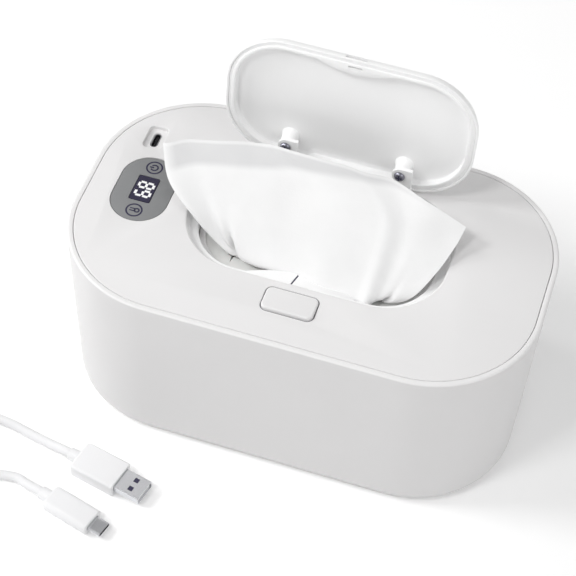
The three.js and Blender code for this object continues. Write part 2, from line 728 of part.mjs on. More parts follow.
function innerCover() {
  const plate = slab(hiddenBodyOutline, coverPlateInset, coverBottom, innerCoverTop);
  const plug = band(hiddenBodyOutline, plugInset, plugInset + plugWall, coverBottom - plugDepth,
    coverBottom + innerCoverThick / 2);
  const standoffs = [boardLow[0] + standoffInset, boardHigh[0] - standoffInset].flatMap((x) => [
    boardLow[1] + standoffInset, boardHigh[1] - 5 * standoffInset].map((y) => rod(x, y, standoffRadius,
    innerCoverTop - innerCoverThick / 2, boardBottom - fit, smallRoundSteps)));
  const pegs = springPlaces.map((x) => rod(x, buttonCentreY, springPegRadius,
    innerCoverTop - innerCoverThick / 2, innerCoverTop + springPegHeight, smallRoundSteps));
  const screwHoles = coverScrewPlaces.flatMap(([x, y]) => [
    rod(x, y, coverScrewRadius + runningGap, coverBottom - overrun, innerCoverTop + overrun,
      smallRoundSteps),
    rod(x, y, coverScrewHead + runningGap, coverBottom - overrun,
      coverBottom + innerCoverThick / 2 + runningGap),
  ]);
  return cut(join(plate, plug, ...standoffs, ...pegs),
    slab(hiddenMouthOutline, throatHole, coverBottom - overrun, innerCoverTop + overrun),
    rod(...sensorPlace, sensorRadius + fit, coverBottom - overrun, innerCoverTop + overrun),
    rod(...leadPlace, leadRadius + fit, coverBottom - overrun, innerCoverTop + overrun, smallRoundSteps),
    ...screwHoles);
}
addPiece('inner_cover', innerCover(), 'cover', cover);

coverScrewPlaces.forEach(([x, y], i) => {
  addPiece(`cover_screw_${sideNames[i]}`, turned(x, y, [
    [0, coverBottom],
    [coverScrewHead, coverBottom],
    [coverScrewHead, coverBottom + innerCoverThick / 2],
    [coverScrewRadius, coverBottom + innerCoverThick / 2],
    [coverScrewRadius, innerCoverTop + coverScrewReach - fit],
    [0, innerCoverTop + coverScrewReach - fit],
  ], smallRoundSteps), 'steel', cover);
});

// Heater under the inner cover: a foil element on an aluminium plate, with its sensor and leads
const filmThick = 0.4;
const heaterThick = 1.2;
const heaterInset = plugInset + plugWall + fit;
const filmTop = coverBottom - fit;
const heaterTop = filmTop - filmThick - fit;
const filmMargin = 4;

function heaterSheet(margin, low, high) {
  const sheet = slab(hiddenBodyOutline, heaterInset + margin, low, high);
  return cut(sheet, slab(hiddenMouthOutline, throatHole - margin, low - overrun, high + overrun));
}
addPiece('heater_film', heaterSheet(filmMargin, filmTop - filmThick, filmTop), 'film', cover);
addPiece('heater_plate', heaterSheet(0, heaterTop - heaterThick, heaterTop), 'aluminium', cover);

const sensorHeight = 4;
addPiece('temperature_sensor', rod(...sensorPlace, sensorRadius, coverBottom, coverBottom + sensorHeight),
  'blackPlastic', cover);

// Control electronics in the left end of the cover
const displayWall = 2;
const displayTop = bodyHeight - lensSink;
const displayBodyTop = panelUnder - fit;
const displayBodyOutline = roundedOutline(windowWidth + 2 * displayWall, windowLength + 2 * displayWall, fit,
  lensX, lensY, 1);

addPiece('display_lens', cut(slab(lensOutline, 0, displayTop - lensThick, displayTop),
  slab(windowOutline, -fit / 2, panelUnder, bodyHeight + overrun)), 'lens', cover);
addPiece('display_module', join(slab(displayBodyOutline, 0, boardTop + fit, displayBodyTop),
  slab(windowOutline, fit / 2, displayBodyTop - overrun, displayTop)), 'display', cover);
addPiece('control_board', block(boardLow[0], boardHigh[0], boardLow[1], boardHigh[1], boardBottom, boardTop),
  'board', cover);

const socketWall = 0.35;
const socketBaseThick = 1.3;
const tongueWidth = 0.7;
const tongueLength = 6.7;
const tongueDrop = 0.8;
const socketBottom = boardTop + fit;
const socketTop = portFloor - fit;
addPiece('usb_socket_shell', band(socketOutline, 0, socketWall, socketBottom, socketTop), 'steel', cover);
addPiece('usb_socket_tongue', join(
  slab(socketOutline, socketWall + runningGap, socketBottom, socketBottom + socketBaseThick),
  block(portX - tongueWidth / 2, portX + tongueWidth / 2, portY - tongueLength / 2, portY + tongueLength / 2,
    socketBottom + socketBaseThick / 2, socketTop - tongueDrop)), 'blackPlastic', cover);

const wireSides = 8;
const wireSteps = 12;
const leadRise = 4.2;
const sensorTop = coverBottom + sensorHeight;
const boardFront = boardLow[1] - fit;
const boardLevel = boardBottom + boardThick / 2;
addPiece('heater_lead', tube([
  [leadPlace[0], leadPlace[1], coverBottom],
  [leadPlace[0], leadPlace[1], coverBottom + leadRise / 2],
  [leadPlace[0] - leadRise / 2, leadPlace[1] + leadRise / 2, boardLevel],
  [boardHigh[0] - leadRise, boardFront - leadRise / 2, boardLevel],
  [boardHigh[0] - leadRise, boardFront, boardLevel],
], leadRadius, wireSides, wireSteps), 'wire', cover);
addPiece('sensor_lead', tube([
  [sensorPlace[0], sensorPlace[1], sensorTop + fit],
  [sensorPlace[0], sensorPlace[1], sensorTop + 2 * fit],
  [sensorPlace[0] - sensorRadius, sensorPlace[1], sensorTop + sensorHeight / 2],
  [(sensorPlace[0] + boardLow[0]) / 2, sensorPlace[1], sensorTop],
  [boardHigh[0] - 3 * leadRise, (sensorPlace[1] + boardFront) / 2, boardLevel],
  [boardHigh[0] - 3 * leadRise, boardFront, boardLevel],
], leadRadius, wireSides, wireSteps), 'wire', cover);

// Soft dispensing insert: a dished membrane with one long slit and three cross slits, held down
// by a ring on the lip of the throat
const membraneThick = 1.7;
const membraneDish = 3.2;
const slitPlaceShare = 0.2361;
const crossLengthShare = 0.2083;
const slitEndShares = [-0.2984, 0.3065];
const slitY = mouthCentreY - mouthWidth * slitPlaceShare;
const [slitLeft, slitRight] = slitEndShares.map((share) => mouthCentreX + mouthLength * share);
const slitWidth = 3.4;
const crossLength = mouthWidth * crossLengthShare;
const crossWidth = 1.2;
const starWidth = 2;
const ringHeight = 1.5;
const ringWidth = 3;
const membraneRim = mouthLedgeWidth + fit;
const membraneBottom = lipTop + fit;
const membraneTop = membraneBottom + membraneThick;
const dishShares = [0, 0.22, 0.55, 0.82, 1];
const dishFlat = 6.2;
const dishReach = mouthWidth / 2 - membraneRim - ringWidth - dishFlat;

function dispensingInsert() {
  const throat = (share) => membraneRim + ringWidth + share * dishReach;
  const sag = (share) => membraneDish * Math.sin(share * Math.PI / 2);
  const sheet = stackSolid(hiddenMouthOutline, [
    ...[...dishShares].reverse().map((share) => [throat(share), membraneBottom - sag(share)]),
    [membraneRim, membraneBottom],
    [membraneRim, membraneTop],
    ...dishShares.map((share) => [throat(share), membraneTop - sag(share)]),
  ]);
  const low = membraneBottom - membraneDish - overrun;
  const high = membraneTop + overrun;
  const crosses = [slitLeft, mouthCentreX, slitRight].map((x, i) => {
    const half = (i === 1 ? crossWidth : starWidth) / 2;
    return block(x - half, x + half, slitY - crossLength / 2, slitY + crossLength / 2, low, high);
  });
  const slit = block(slitLeft, slitRight, slitY - slitWidth / 2, slitY + slitWidth / 2, low, high);
  return cut(sheet, slit, ...crosses);
}
addPiece('dispensing_insert', dispensingInsert(), 'silicone', cover);
addPiece('insert_ring', band(hiddenMouthOutline, membraneRim, membraneRim + ringWidth, membraneTop + fit,
  membraneTop + fit + ringHeight), 'cover', cover);

// Hinge pins and the torsion springs that throw the lid open
const hingeWire = 0.35;
const hingeCoilRadius = 1.75;
const hingeTurns = 4;
const hingeNames = ['left', 'right'];

function hingeSpring(x) {
  const low = x + armOffset - pocketGap - hingeSpringLength + hingeWire;
  const high = x + armOffset - pocketGap - hingeWire;
  const stepsPerTurn = 8;
  const count = hingeTurns * stepsPerTurn;
  const points = Array.from({ length: count + 1 }, (_, i) => {
    const angle = i / stepsPerTurn * 2 * Math.PI;
    return new THREE.Vector3(low + (high - low) * i / count, hingeY + hingeCoilRadius * Math.cos(angle),
      hingeZ + hingeCoilRadius * Math.sin(angle));
  });
  return wound(points, hingeWire, springSides);
}
armX.forEach((x, i) => {
  addPiece(`hinge_pin_${hingeNames[i]}`, rodAlongX(hingeY, hingeZ, pinRadius, pocketLow(x) - pinBossLength,
    pocketHigh(x) + pinBossLength, smallRoundSteps), 'steel', cover);
  addPiece(`lid_spring_${hingeNames[i]}`, hingeSpring(x), 'steel', cover);
});

// Springs under the button
const buttonSpringCoil = 2;
const buttonSpringWire = 0.3;
const buttonSpringTurns = 4;
const buttonHollowTop = buttonTop - buttonCeiling;
springPlaces.forEach((x, i) => {
  addPiece(`button_spring_${hingeNames[i]}`, standingSpring(x, buttonCentreY, innerCoverTop + fit,
    buttonHollowTop - fit, buttonSpringCoil, buttonSpringWire, buttonSpringTurns), 'steel', cover);
});

function releaseButton() {
  const cap = stackSolid(buttonOutline, [
    [0, buttonBottom],
    [0, buttonTop - buttonBevel],
    [buttonBevel / 2, buttonTop - buttonBevel / 3],
    [2 * buttonBevel, buttonTop],
  ]);
  const hollow = slab(buttonOutline, buttonWall, buttonBottom - overrun, buttonHollowTop);
  const passage = block(mouthCentreX - slideHalfWidth - fit, mouthCentreX + slideHalfWidth + fit,
    buttonFront - overrun, buttonBack + overrun, buttonBottom - overrun, slideTop + buttonTravel + fit);
  const tabs = [-1, 1].flatMap((side) => {
    const edge = mouthCentreX + side * buttonLength / 2;
    const tab = (reach, top) => block(Math.min(edge - side * buttonWall, edge + side * reach),
      Math.max(edge - side * buttonWall, edge + side * reach), buttonCentreY - buttonRadius,
      buttonCentreY + buttonRadius, buttonBottom - buttonWall, top);
    return [tab(buttonWall, panelUnder - fit), tab(0, buttonBottom + buttonWall)];
  });
  const wedge = new THREE.Shape();
  wedge.moveTo(wedgeBack, buttonHollowTop + buttonCeiling / 2);
  wedge.lineTo(wedgeBack - wedgeDepth, buttonHollowTop + buttonCeiling / 2);
  wedge.lineTo(wedgeBack - wedgeDepth, wedgeBottom + wedgeDepth / 2);
  wedge.lineTo(wedgeBack - wedgeDepth / 2, wedgeBottom);
  wedge.lineTo(wedgeBack, wedgeBottom);
  const foot = plateAlongX(wedge, mouthCentreX - wedgeHalfWidth, mouthCentreX + wedgeHalfWidth);
  return join(cut(cap, hollow, passage), ...tabs, foot);
}
addPiece('release_button', releaseButton(), 'cover', cover);

// The slide of the latch: its window has an edge at the angle of the wedge
function latchSlide() {
  const plate = block(mouthCentreX - slideHalfWidth, mouthCentreX + slideHalfWidth, slideFront,
    mouthFront + noseReach, slideBottom, slideTop);
  const wedgeLine = wedgeBack - wedgeDepth / 2 + wedgeBottom - fit * Math.SQRT2;
  const opening = new THREE.Shape();
  opening.moveTo(wedgeLine - slideTop - overrun, slideTop + overrun);
  opening.lineTo(wedgeLine - slideBottom + overrun, slideBottom - overrun);
  opening.lineTo(wedgeBack + buttonTravel + fit, slideBottom - overrun);
  opening.lineTo(wedgeBack + buttonTravel + fit, slideTop + overrun);
  const half = wedgeHalfWidth + fit;
  return cut(plate, plateAlongX(opening, mouthCentreX - half, mouthCentreX + half));
}
addPiece('latch_slide', latchSlide(), 'blackPlastic', cover);

// The lid is modelled closed, about its hinge, then swung open
const lid = new THREE.Group();
lid.position.set(0, hingeY, hingeZ);
lid.rotation.x = -lidOpenAngle;
cover.add(lid);
const intoLid = (geometry) => geometry.translate(0, -hingeY, -hingeZ);

const lidLength = mouthLength - 2 * lidGap;
const lidWidth = mouthWidth - 2 * lidGap;
const lidRadius = mouthRadius - lidGap;
const lidOutline = roundedOutline(lidLength, lidWidth, lidRadius, mouthCentreX, mouthCentreY);
const lidProud = 1;
const lidWall = 1.2;
const lidRound = 4;
const lidChamfer = 1.8;
const lidRimGap = 0.8;
const lidTop = bodyHeight + lidProud;
const lidRim = mouthLedge + lidRimGap;
const lidFront = mouthCentreY - lidWidth / 2;
const lidUnder = lidTop - lidWall;
const lidSlope = lidUnder - lidChamfer;
const catchGap = 0.3;
const catchHalfWidth = slideHalfWidth + 0.8;

function lidOuter() {
  const cap = stackSolid(lidOutline, [
    [lidWall, lidTop - lidRound],
    [lidWall, lidRim],
    [0, lidRim],
    ...roundEdge(lidRound, lidTop - lidRound, lidRound, 180, 90),
  ]);
  const window = block(mouthCentreX - catchHalfWidth, mouthCentreX + catchHalfWidth, lidFront - overrun,
    lidFront + lidWall + overrun / 2, slideBottom - catchGap, slideTop + catchGap);
  const hollow = stackSolid(lidOutline, [
    [lidWall, lidRim - overrun],
    [lidWall, lidSlope],
    [lidWall + lidChamfer, lidUnder],
  ]);
  return cut(cap, window, hollow);
}
addPiece('lid_outer', intoLid(lidOuter()), 'lid', lid);

// Inner lid: a shallow dish with a bead round it, a crescent at the latch and two screw bosses
const sealRing = 0.8;
const beadWidth = 1.8;
const dishDepth = 3.8;
const lidInnerThick = 1;
const lidInnerTop = lidUnder - fit;
const dishFloor = lidInnerTop - lidInnerThick;
const innerRim = dishFloor - dishDepth;
const sealFrom = lidWall + fit;
const beadFrom = sealFrom + sealRing + fit;
const beadTo = beadFrom + beadWidth;
const lidBossRadius = 3.9;
const lidBossTip = 3.2;
const bossFromBack = 12;
const bossY = mouthCentreY + lidWidth / 2 - bossFromBack;
const eyeThick = 2;
const bossDrop = 6.6;
const bossBottom = dishFloor - bossDrop;
const lidScrewRadius = 1.2;
const lidScrewHead = 2.6;
const lidScrewHeadHeight = 1.6;
const lidScrewReach = 4.5;
const lidCrescentLength = 37;
const lidCrescentDepth = 4;
const catchSlotHalf = 3.3;
const catchSlotWidth = 1.2;
const catchSlotInset = 1.3;

// Inset of the inner lid at a height, a fit clear of the sloped edge of the cap's hollow
const underSlope = (z) => lidWall + fit * Math.SQRT2 + z - lidSlope;

function lidInner() {
  const rimProfile = stackSolid(lidOutline, [
    [beadTo + 1, dishFloor],
    [beadTo, dishFloor - 1],
    [beadTo, innerRim + fit],
    [beadTo - fit, innerRim],
    [beadFrom + fit, innerRim],
    [beadFrom, innerRim + fit],
    [beadFrom, dishFloor],
    [underSlope(dishFloor), dishFloor],
    [underSlope(lidInnerTop), lidInnerTop],
  ]);
  const chord = lidFront + beadTo;
  const landing = crescent(mouthCentreX, chord, lidCrescentLength, lidCrescentDepth, beadWidth / 2,
    innerRim, dishFloor + fit);
  const bosses = armX.map((x) => turned(x, bossY, [
    [0, bossBottom],
    [lidBossTip, bossBottom],
    [lidBossRadius, dishFloor - 1],
    [lidBossRadius + 1, dishFloor + fit],
    [0, dishFloor + fit],
  ]));
  const holes = armX.map((x) => rod(x, bossY, lidScrewRadius + runningGap, bossBottom - overrun,
    bossBottom + lidScrewReach + fit, smallRoundSteps));
  const slotFront = chord + catchSlotInset - beadWidth;
  const slot = block(mouthCentreX - catchSlotHalf, mouthCentreX + catchSlotHalf, slotFront,
    slotFront + catchSlotWidth, innerRim - overrun, innerRim + dishDepth / 2);
  return cut(join(rimProfile, landing, ...bosses), slot, ...holes);
}
addPiece('lid_inner', intoLid(lidInner()), 'lid', lid);

const sealDrop = 0.5;
addPiece('lid_seal', intoLid(band(lidOutline, sealFrom, sealFrom + sealRing, lidRim - sealDrop,
  lidSlope - fit / 2)), 'silicone', lid);

// Hinge arms: an eye under each boss of the lid, and a goose neck that reaches back to the pin
const armUnder = bossBottom - fit - eyeThick;
const armNeck = 3.1;
const neckDrop = 3.3;

function hingeArm(x) {
  const eyeTop = bossBottom - fit;
  const lidBack = mouthCentreY + lidWidth / 2;
  const side = new THREE.Shape();
  side.moveTo(bossY - lidBossRadius, armUnder);
  side.lineTo(mouthBack - mouthLedgeWidth, armUnder);
  side.lineTo(hingeY - armNeck - fit, armUnder + fit);
  side.lineTo(hingeY + pinRadius, hingeZ - neckDrop - pinRadius);
  side.absarc(hingeY, hingeZ, knuckleRadius, -Math.PI / 4, Math.PI, false);
  side.lineTo(lidBack + fit, mouthLedge + fit);
  side.lineTo(lidBack - armNeck, mouthLedge - fit);
  side.lineTo(bossY + lidBossRadius, eyeTop);
  side.lineTo(bossY - lidBossRadius, eyeTop);
  const plate = plateAlongX(side, x + armOffset, x + armOffset + armThick);
  const eye = rod(x, bossY, lidBossRadius, armUnder, eyeTop);
  const bridge = block(x, x + armOffset + armThick / 2, bossY - lidBossRadius, bossY + lidBossRadius,
    armUnder, eyeTop);
  return cut(join(plate, eye, bridge),
    rod(x, bossY, lidScrewRadius + runningGap, armUnder - overrun, eyeTop + overrun, smallRoundSteps),
    rodAlongX(hingeY, hingeZ, pinRadius + runningGap, x, x + armOffset + armThick + overrun,
      smallRoundSteps));
}

armX.forEach((x, i) => {
  addPiece(`hinge_arm_${hingeNames[i]}`, intoLid(hingeArm(x)), 'lid', lid);
  const headTop = armUnder - fit;
  addPiece(`lid_screw_${hingeNames[i]}`, intoLid(turned(x, bossY, [
    [0, headTop - lidScrewHeadHeight],
    [lidScrewHead * 3 / 4, headTop - lidScrewHeadHeight],
    [lidScrewHead, headTop - lidScrewHeadHeight / 2],
    [lidScrewHead, headTop],
    [lidScrewRadius, headTop],
    [lidScrewRadius, bossBottom + lidScrewReach],
    [0, bossBottom + lidScrewReach],
  ], smallRoundSteps)), 'steel', lid);
});

// The wipe that stands in the slit: it gathers in the slit and fans out above, leaning back
const wipeThick = 1.1;
const wipeTail = 11;
const wipeRise = 39;
const wipeFold = 2;
const wipeFolds = 3;
const wipeColumns = 18;
const wipeRows = 8;

// Rows across the wipe, from the slit to its top edge: shares of the mouth's length from its middle,
// of the mouth's width from the slit, and of the wipe's rise from the membrane
const wipeShares = [
  [[-0.29, -0.003, -0.038], [0, 0, -0.038], [0.298, -0.003, -0.038]],
  [[-0.395, 0.035, 0.154], [-0.226, 0.042, 0.179], [0, 0.042, 0.179], [0.21, 0.042, 0.167],
    [0.399, 0.014, 0.141]],
  [[-0.492, 0.078, 0.397], [-0.258, 0.125, 0.436], [0, 0.153, 0.436], [0.258, 0.139, 0.397],
    [0.468, 0.139, 0.346]],
  [[-0.589, 0.181, 0.615], [-0.298, 0.319, 0.718], [0.008, 0.347, 0.744], [0.274, 0.333, 0.641],
    [0.504, 0.306, 0.474]],
  [[-0.661, 0.403, 0.769], [-0.54, 0.458, 0.846], [-0.419, 0.5, 0.923], [-0.306, 0.514, 0.938],
    [-0.202, 0.514, 0.987], [0.016, 0.528, 0.985], [0.202, 0.528, 0.859], [0.371, 0.486, 0.756],
    [0.524, 0.431, 0.615]],
];

const curveOf = (points) => new THREE.CatmullRomCurve3(points.map((point) => new THREE.Vector3(...point)));

function wipePoint(across, up) {
  const spots = wipeShares.map((row) => curveOf(row).getPoint(across)).map((share) => new THREE.Vector3(
    mouthCentreX + mouthLength * share.x, slitY + mouthWidth * share.y, membraneTop + wipeRise * share.z));
  const tail = spots[0].clone();
  tail.z -= wipeTail;
  const point = new THREE.CatmullRomCurve3([tail, ...spots]).getPoint(up);
  const swell = Math.sin(across * Math.PI) * Math.max(up - 1 / 2, 0);
  point.y += wipeFold * swell * Math.sin(across * wipeFolds * 2 * Math.PI);
  return point;
}

function wipeSheet() {
  const lean = new THREE.Vector3(0, wipeThick / 2, 0);
  const rings = Array.from({ length: wipeRows + 1 }, (_, i) => {
    const up = i / wipeRows;
    const centre = Array.from({ length: wipeColumns + 1 }, (_, j) => wipePoint(j / wipeColumns, up));
    const front = centre.map((point) => point.clone().sub(lean));
    const back = centre.map((point) => point.clone().add(lean)).reverse();
    return [...front, ...back];
  });
  return skin(rings, false);
}
addPiece('wipe', wipeSheet(), 'cloth', cover);

// Lead: a USB-A plug and a USB-C plug that lie on the floor, and the cable between them, whose
// spare length is wound in a coil of two layers
const cableRadius = 2.3;
const cableLift = 0.1;
const plugA = { x: -60.5, y: -98.8, yaw: THREE.MathUtils.degToRad(-12.7) };
const plugC = { x: -64.6, y: -124.9, yaw: THREE.MathUtils.degToRad(-15.4) };

const aShell = { length: 13.6, width: 12, height: 4.5, wall: 0.4, sink: 2, radius: 0.6 };
const aMould = { length: 24, width: 16.6, height: 8.2, round: 1.3 };
const cShell = { length: 6.8, width: 8.3, height: 2.5, wall: 0.35, sink: 1.5, radius: 1.25 };
const cMould = { length: 25, width: 13, height: 6.8, round: 2.6 };
const collarLength = 5;
const collarWide = 3.4;
const collarNarrow = 3.1;

// A section drawn across a plug, carried along the plug's own length from one place to another
function along(outlinePoints, stations) {
  const rings = stations.map(([x, scaleY, scaleZ]) => outlinePoints.map((point) => new THREE.Vector3(
    x, point.x * scaleY, point.y * scaleZ)));
  const first = stations[0][0];
  const last = stations[stations.length - 1][0];
  return skin(rings, false, [new THREE.Vector3(first, 0, 0), new THREE.Vector3(last, 0, 0)]);
}

function sectionOf(width, height, radius) {
  return roundedOutline(width, height, radius, 0, 0, 4)(0);
}

function plugMould(mould, shell) {
  const body = along(sectionOf(mould.width, mould.height, mould.round), [
    [-mould.length, 0.84, 0.8],
    [-mould.length + 0.6, 0.94, 0.93],
    [-mould.length + 1.6, 1, 1],
    [-0.4, 1, 1],
    [0, 0.96, 0.94],
  ]);
  const collar = along(sectionOf(2, 2, 1), [
    [-mould.length - collarLength, collarNarrow, collarNarrow],
    [-mould.length + 1, collarWide, collarWide * 0.9],
  ]);
  const pocket = along(sectionOf(shell.width + 2 * fit, shell.height + 2 * fit, shell.radius + fit), [
    [-shell.sink - fit, 1, 1],
    [overrun, 1, 1],
  ]);
  return cut(join(body, collar), pocket);
}

function plugShell(shell) {
  const outer = sectionOf(shell.width, shell.height, shell.radius);
  const inner = sectionOf(shell.width - 2 * shell.wall, shell.height - 2 * shell.wall,
    Math.max(shell.radius - shell.wall, fit));
  return cut(along(outer, [[-shell.sink, 1, 1], [shell.length, 1, 1]]),
    along(inner, [[-shell.sink - overrun, 1, 1], [shell.length + overrun, 1, 1]]));
}

function placePlug(plug, height) {
  const group = new THREE.Group();
  group.position.set(plug.x, plug.y, height / 2);
  group.rotation.z = plug.yaw;
  product.add(group);
  return group;
}

const holeSize = 2.5;
const holeSpacing = 5.2;
const holeFromTip = 6.2;
const aTongue = { length: 12.4, width: 10.6, height: 1.8, setback: 0.8 };
const groupA = placePlug(plugA, aMould.height);
const aHoles = [-1, 1].map((side) => block(aShell.length - holeFromTip - holeSize / 2,
  aShell.length - holeFromTip + holeSize / 2, side * holeSpacing / 2 - holeSize / 2,
  side * holeSpacing / 2 + holeSize / 2, 0, aShell.height));
addPiece('usb_a_mould', plugMould(aMould, aShell), 'cable', groupA);
addPiece('usb_a_shell', cut(plugShell(aShell), ...aHoles), 'steel', groupA);
const tongueFloor = -aShell.height / 2 + aShell.wall + runningGap;
const tongueTip = aShell.length - aTongue.setback;
addPiece('usb_a_tongue', block(tongueTip - aTongue.length, tongueTip, -aTongue.width / 2, aTongue.width / 2,
  tongueFloor, tongueFloor + aTongue.height), 'cable', groupA);

const cInsert = { depth: 5.4, slotWidth: 6.6, slotHeight: 0.8, setback: 0.5 };
const groupC = placePlug(plugC, cMould.height);
addPiece('usb_c_mould', plugMould(cMould, cShell), 'cable', groupC);
addPiece('usb_c_shell', plugShell(cShell), 'steel', groupC);
const cCoreWidth = cShell.width - 2 * cShell.wall - 2 * runningGap;
const cCoreHeight = cShell.height - 2 * cShell.wall - 2 * runningGap;
const cCore = along(sectionOf(cCoreWidth, cCoreHeight, cCoreHeight / 2), [
  [-cShell.sink, 1, 1],
  [cShell.length - cInsert.setback, 1, 1],
]);
const cSlot = block(cShell.length - cInsert.setback - cInsert.depth, cShell.length + overrun,
  -cInsert.slotWidth / 2, cInsert.slotWidth / 2, -cInsert.slotHeight / 2, cInsert.slotHeight / 2);
addPiece('usb_c_core', cut(cCore, cSlot), 'blackPlastic', groupC);

// Coil: it starts at the top of its circle, winds in for three turns, climbs in a half turn and
// winds out again for three turns above, to leave at the bottom of its circle
const coilX = -163;
const coilY = -101;
const coilInner = 14.6;
const coilPitch = 5.3;
const coilTurns = 3;
const coilLayer = 5.2;
const coilSteps = 22;
const coilSides = 6;
const coilDip = 2.6;
const coilOuter = coilInner + coilPitch * coilTurns;
const cableLevel = cableRadius + cableLift;

function coilPoint(turn) {
  const climb = THREE.MathUtils.clamp((turn - coilTurns) * 2, 0, 1);
  const wind = turn < coilTurns ? coilTurns - turn : Math.max(turn - coilTurns - 1 / 2, 0);
  const dip = coilDip * Math.sin(climb * Math.PI);
  const radius = coilInner + coilPitch * wind - dip;
  const angle = Math.PI / 2 + turn * 2 * Math.PI;
  const level = cableLevel + coilLayer * (1 - Math.cos(climb * Math.PI)) / 2;
  return new THREE.Vector3(coilX + radius * Math.cos(angle), coilY + radius * Math.sin(angle), level);
}

function cableCoil() {
  const turns = 2 * coilTurns + 1 / 2;
  const count = turns * coilSteps;
  const points = Array.from({ length: count + 1 }, (_, i) => coilPoint(i / coilSteps));
  let nearest = Infinity;
  points.forEach((point, i) => {
    for (let j = i + coilSteps / 2; j < points.length; j += 1) {
      nearest = Math.min(nearest, point.distanceTo(points[j]));
    }
  });
  console.log(`cable coil: least gap between turns ${(nearest - 2 * cableRadius).toFixed(2)} mm`);
  const straight = new THREE.Vector3(2 * cableRadius, 0, 0);
  const run = [points[0].clone().add(straight), ...points, points[count].clone().add(straight)];
  return wound(run, cableRadius, coilSides);
}
addPiece('cable_coil', cableCoil(), 'cable');

// The free stretches run from the collar of each plug to the coil
const collarEnd = (plug, mould) => {
  const back = mould.length + collarLength + fit;
  return [plug.x - back * Math.cos(plug.yaw), plug.y - back * Math.sin(plug.yaw)];
};
const endA = collarEnd(plugA, aMould);
const endC = collarEnd(plugC, cMould);
const coilExit = coilX + 2 * cableRadius + fit;
const coilTopY = coilY + coilOuter;
const coilBottomY = coilY - coilOuter;
const upperLevel = cableLevel + coilLayer;
const coilRun = 4;
const routeA = [[-91.5, -91.8, 4], [-101.3, -89.6, 2.9], [-111, -87.4, 2.4], [-120.8, -85.2, 2.4],
  [-136, -82.5, 2.4], [-146, -75.4, 2.4]];
const routeC = [[-95.7, -116.3, 3.4], [-102.5, -114.5, 2.7], [-109.2, -112.6, 2.4], [-122, -115.5, 2.8],
  [-132, -121, 4.4], [-143, -127.8, 6.7]];
const stretchA = [
  [...endA, aMould.height / 2],
  ...routeA,
  [coilExit + coilRun, coilTopY, cableLevel],
  [coilExit, coilTopY, cableLevel],
];
const stretchC = [
  [...endC, cMould.height / 2],
  ...routeC,
  [coilExit + coilRun, coilBottomY, upperLevel],
  [coilExit, coilBottomY, upperLevel],
];
addPiece('cable_to_usb_a', tube(stretchA, cableRadius, 8, 16), 'cable');
addPiece('cable_to_usb_c', tube(stretchC, cableRadius, 8, 14), 'cable');

export default product;
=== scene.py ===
import json
import math

import bmesh
import bpy
from mathutils import Matrix, Vector, noise
from mathutils.kdtree import KDTree


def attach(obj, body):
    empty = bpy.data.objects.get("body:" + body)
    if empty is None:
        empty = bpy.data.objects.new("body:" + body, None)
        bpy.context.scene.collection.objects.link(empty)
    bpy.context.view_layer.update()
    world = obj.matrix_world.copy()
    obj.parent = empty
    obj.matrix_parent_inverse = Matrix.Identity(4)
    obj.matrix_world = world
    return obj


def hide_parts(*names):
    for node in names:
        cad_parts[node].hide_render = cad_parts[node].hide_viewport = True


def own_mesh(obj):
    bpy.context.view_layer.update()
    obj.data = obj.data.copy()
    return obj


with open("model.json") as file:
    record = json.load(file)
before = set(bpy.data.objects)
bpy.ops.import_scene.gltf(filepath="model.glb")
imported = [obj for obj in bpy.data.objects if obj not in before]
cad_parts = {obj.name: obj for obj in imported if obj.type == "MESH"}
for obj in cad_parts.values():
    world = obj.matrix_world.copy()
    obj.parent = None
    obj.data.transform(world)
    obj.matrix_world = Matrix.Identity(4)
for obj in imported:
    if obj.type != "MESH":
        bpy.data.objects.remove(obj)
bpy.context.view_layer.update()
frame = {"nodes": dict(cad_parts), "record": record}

MM = 0.001
FIT = 0.3

# Camera, fitted to the photograph
PHOTO_WIDTH = 576
FOCAL_PIXELS = 1817.17
SENSOR = 36.0
EYE = Vector((133.9, -535.8, 734.4)) * MM
RIGHT = Vector((0.9515, 0.3051, 0.0382))
UP = Vector((-0.2597, 0.7306, 0.6315))


def place_camera():
    data = bpy.data.cameras.new("camera")
    data.sensor_width = SENSOR
    data.lens = FOCAL_PIXELS / PHOTO_WIDTH * SENSOR
    data.clip_end = 20
    camera = bpy.data.objects.new("camera", data)
    bpy.context.scene.collection.objects.link(camera)
    right = RIGHT.normalized()
    back = right.cross(UP).normalized()
    up = back.cross(right)
    axes = Matrix((right, up, back)).transposed().to_4x4()
    camera.matrix_world = Matrix.Translation(EYE) @ axes
    bpy.context.scene.camera = camera


place_camera()


# Mesh tools, in millimetres

ROD_SIDES = 40
SEGMENT_STEPS = 40


def new_object(name, points, faces, smooth=35):
    mesh = bpy.data.meshes.new(name)
    mesh.from_pydata([tuple(c * MM for c in p) for p in points], [], faces)
    obj = bpy.data.objects.new(name, mesh)
    bpy.context.scene.collection.objects.link(obj)
    tidy(obj, smooth)
    return obj


def tidy(obj, smooth=35):
    work = bmesh.new()
    work.from_mesh(obj.data)
    bmesh.ops.remove_doubles(work, verts=work.verts, dist=1e-6)
    bmesh.ops.recalc_face_normals(work, faces=work.faces)
    work.to_mesh(obj.data)
    work.free()
    soften(obj, smooth)


def soften(obj, angle):
    obj.data.polygons.foreach_set("use_smooth", [True] * len(obj.data.polygons))
    obj.data.set_sharp_from_angle(angle=math.radians(angle))


def skin(name, rings, closed=False, smooth=35):
    count = len(rings[0])
    points = [p for ring in rings for p in ring]
    faces = []
    bands = len(rings) if closed else len(rings) - 1
    for i in range(bands):
        here, there = i * count, (i + 1) % len(rings) * count
        for j in range(count):
            k = (j + 1) % count
            faces.append((here + j, here + k, there + k, there + j))
    if not closed:
        faces.append(tuple(range(count))[::-1])
        faces.append(tuple(range((len(rings) - 1) * count, len(rings) * count)))
    return new_object(name, points, faces, smooth)


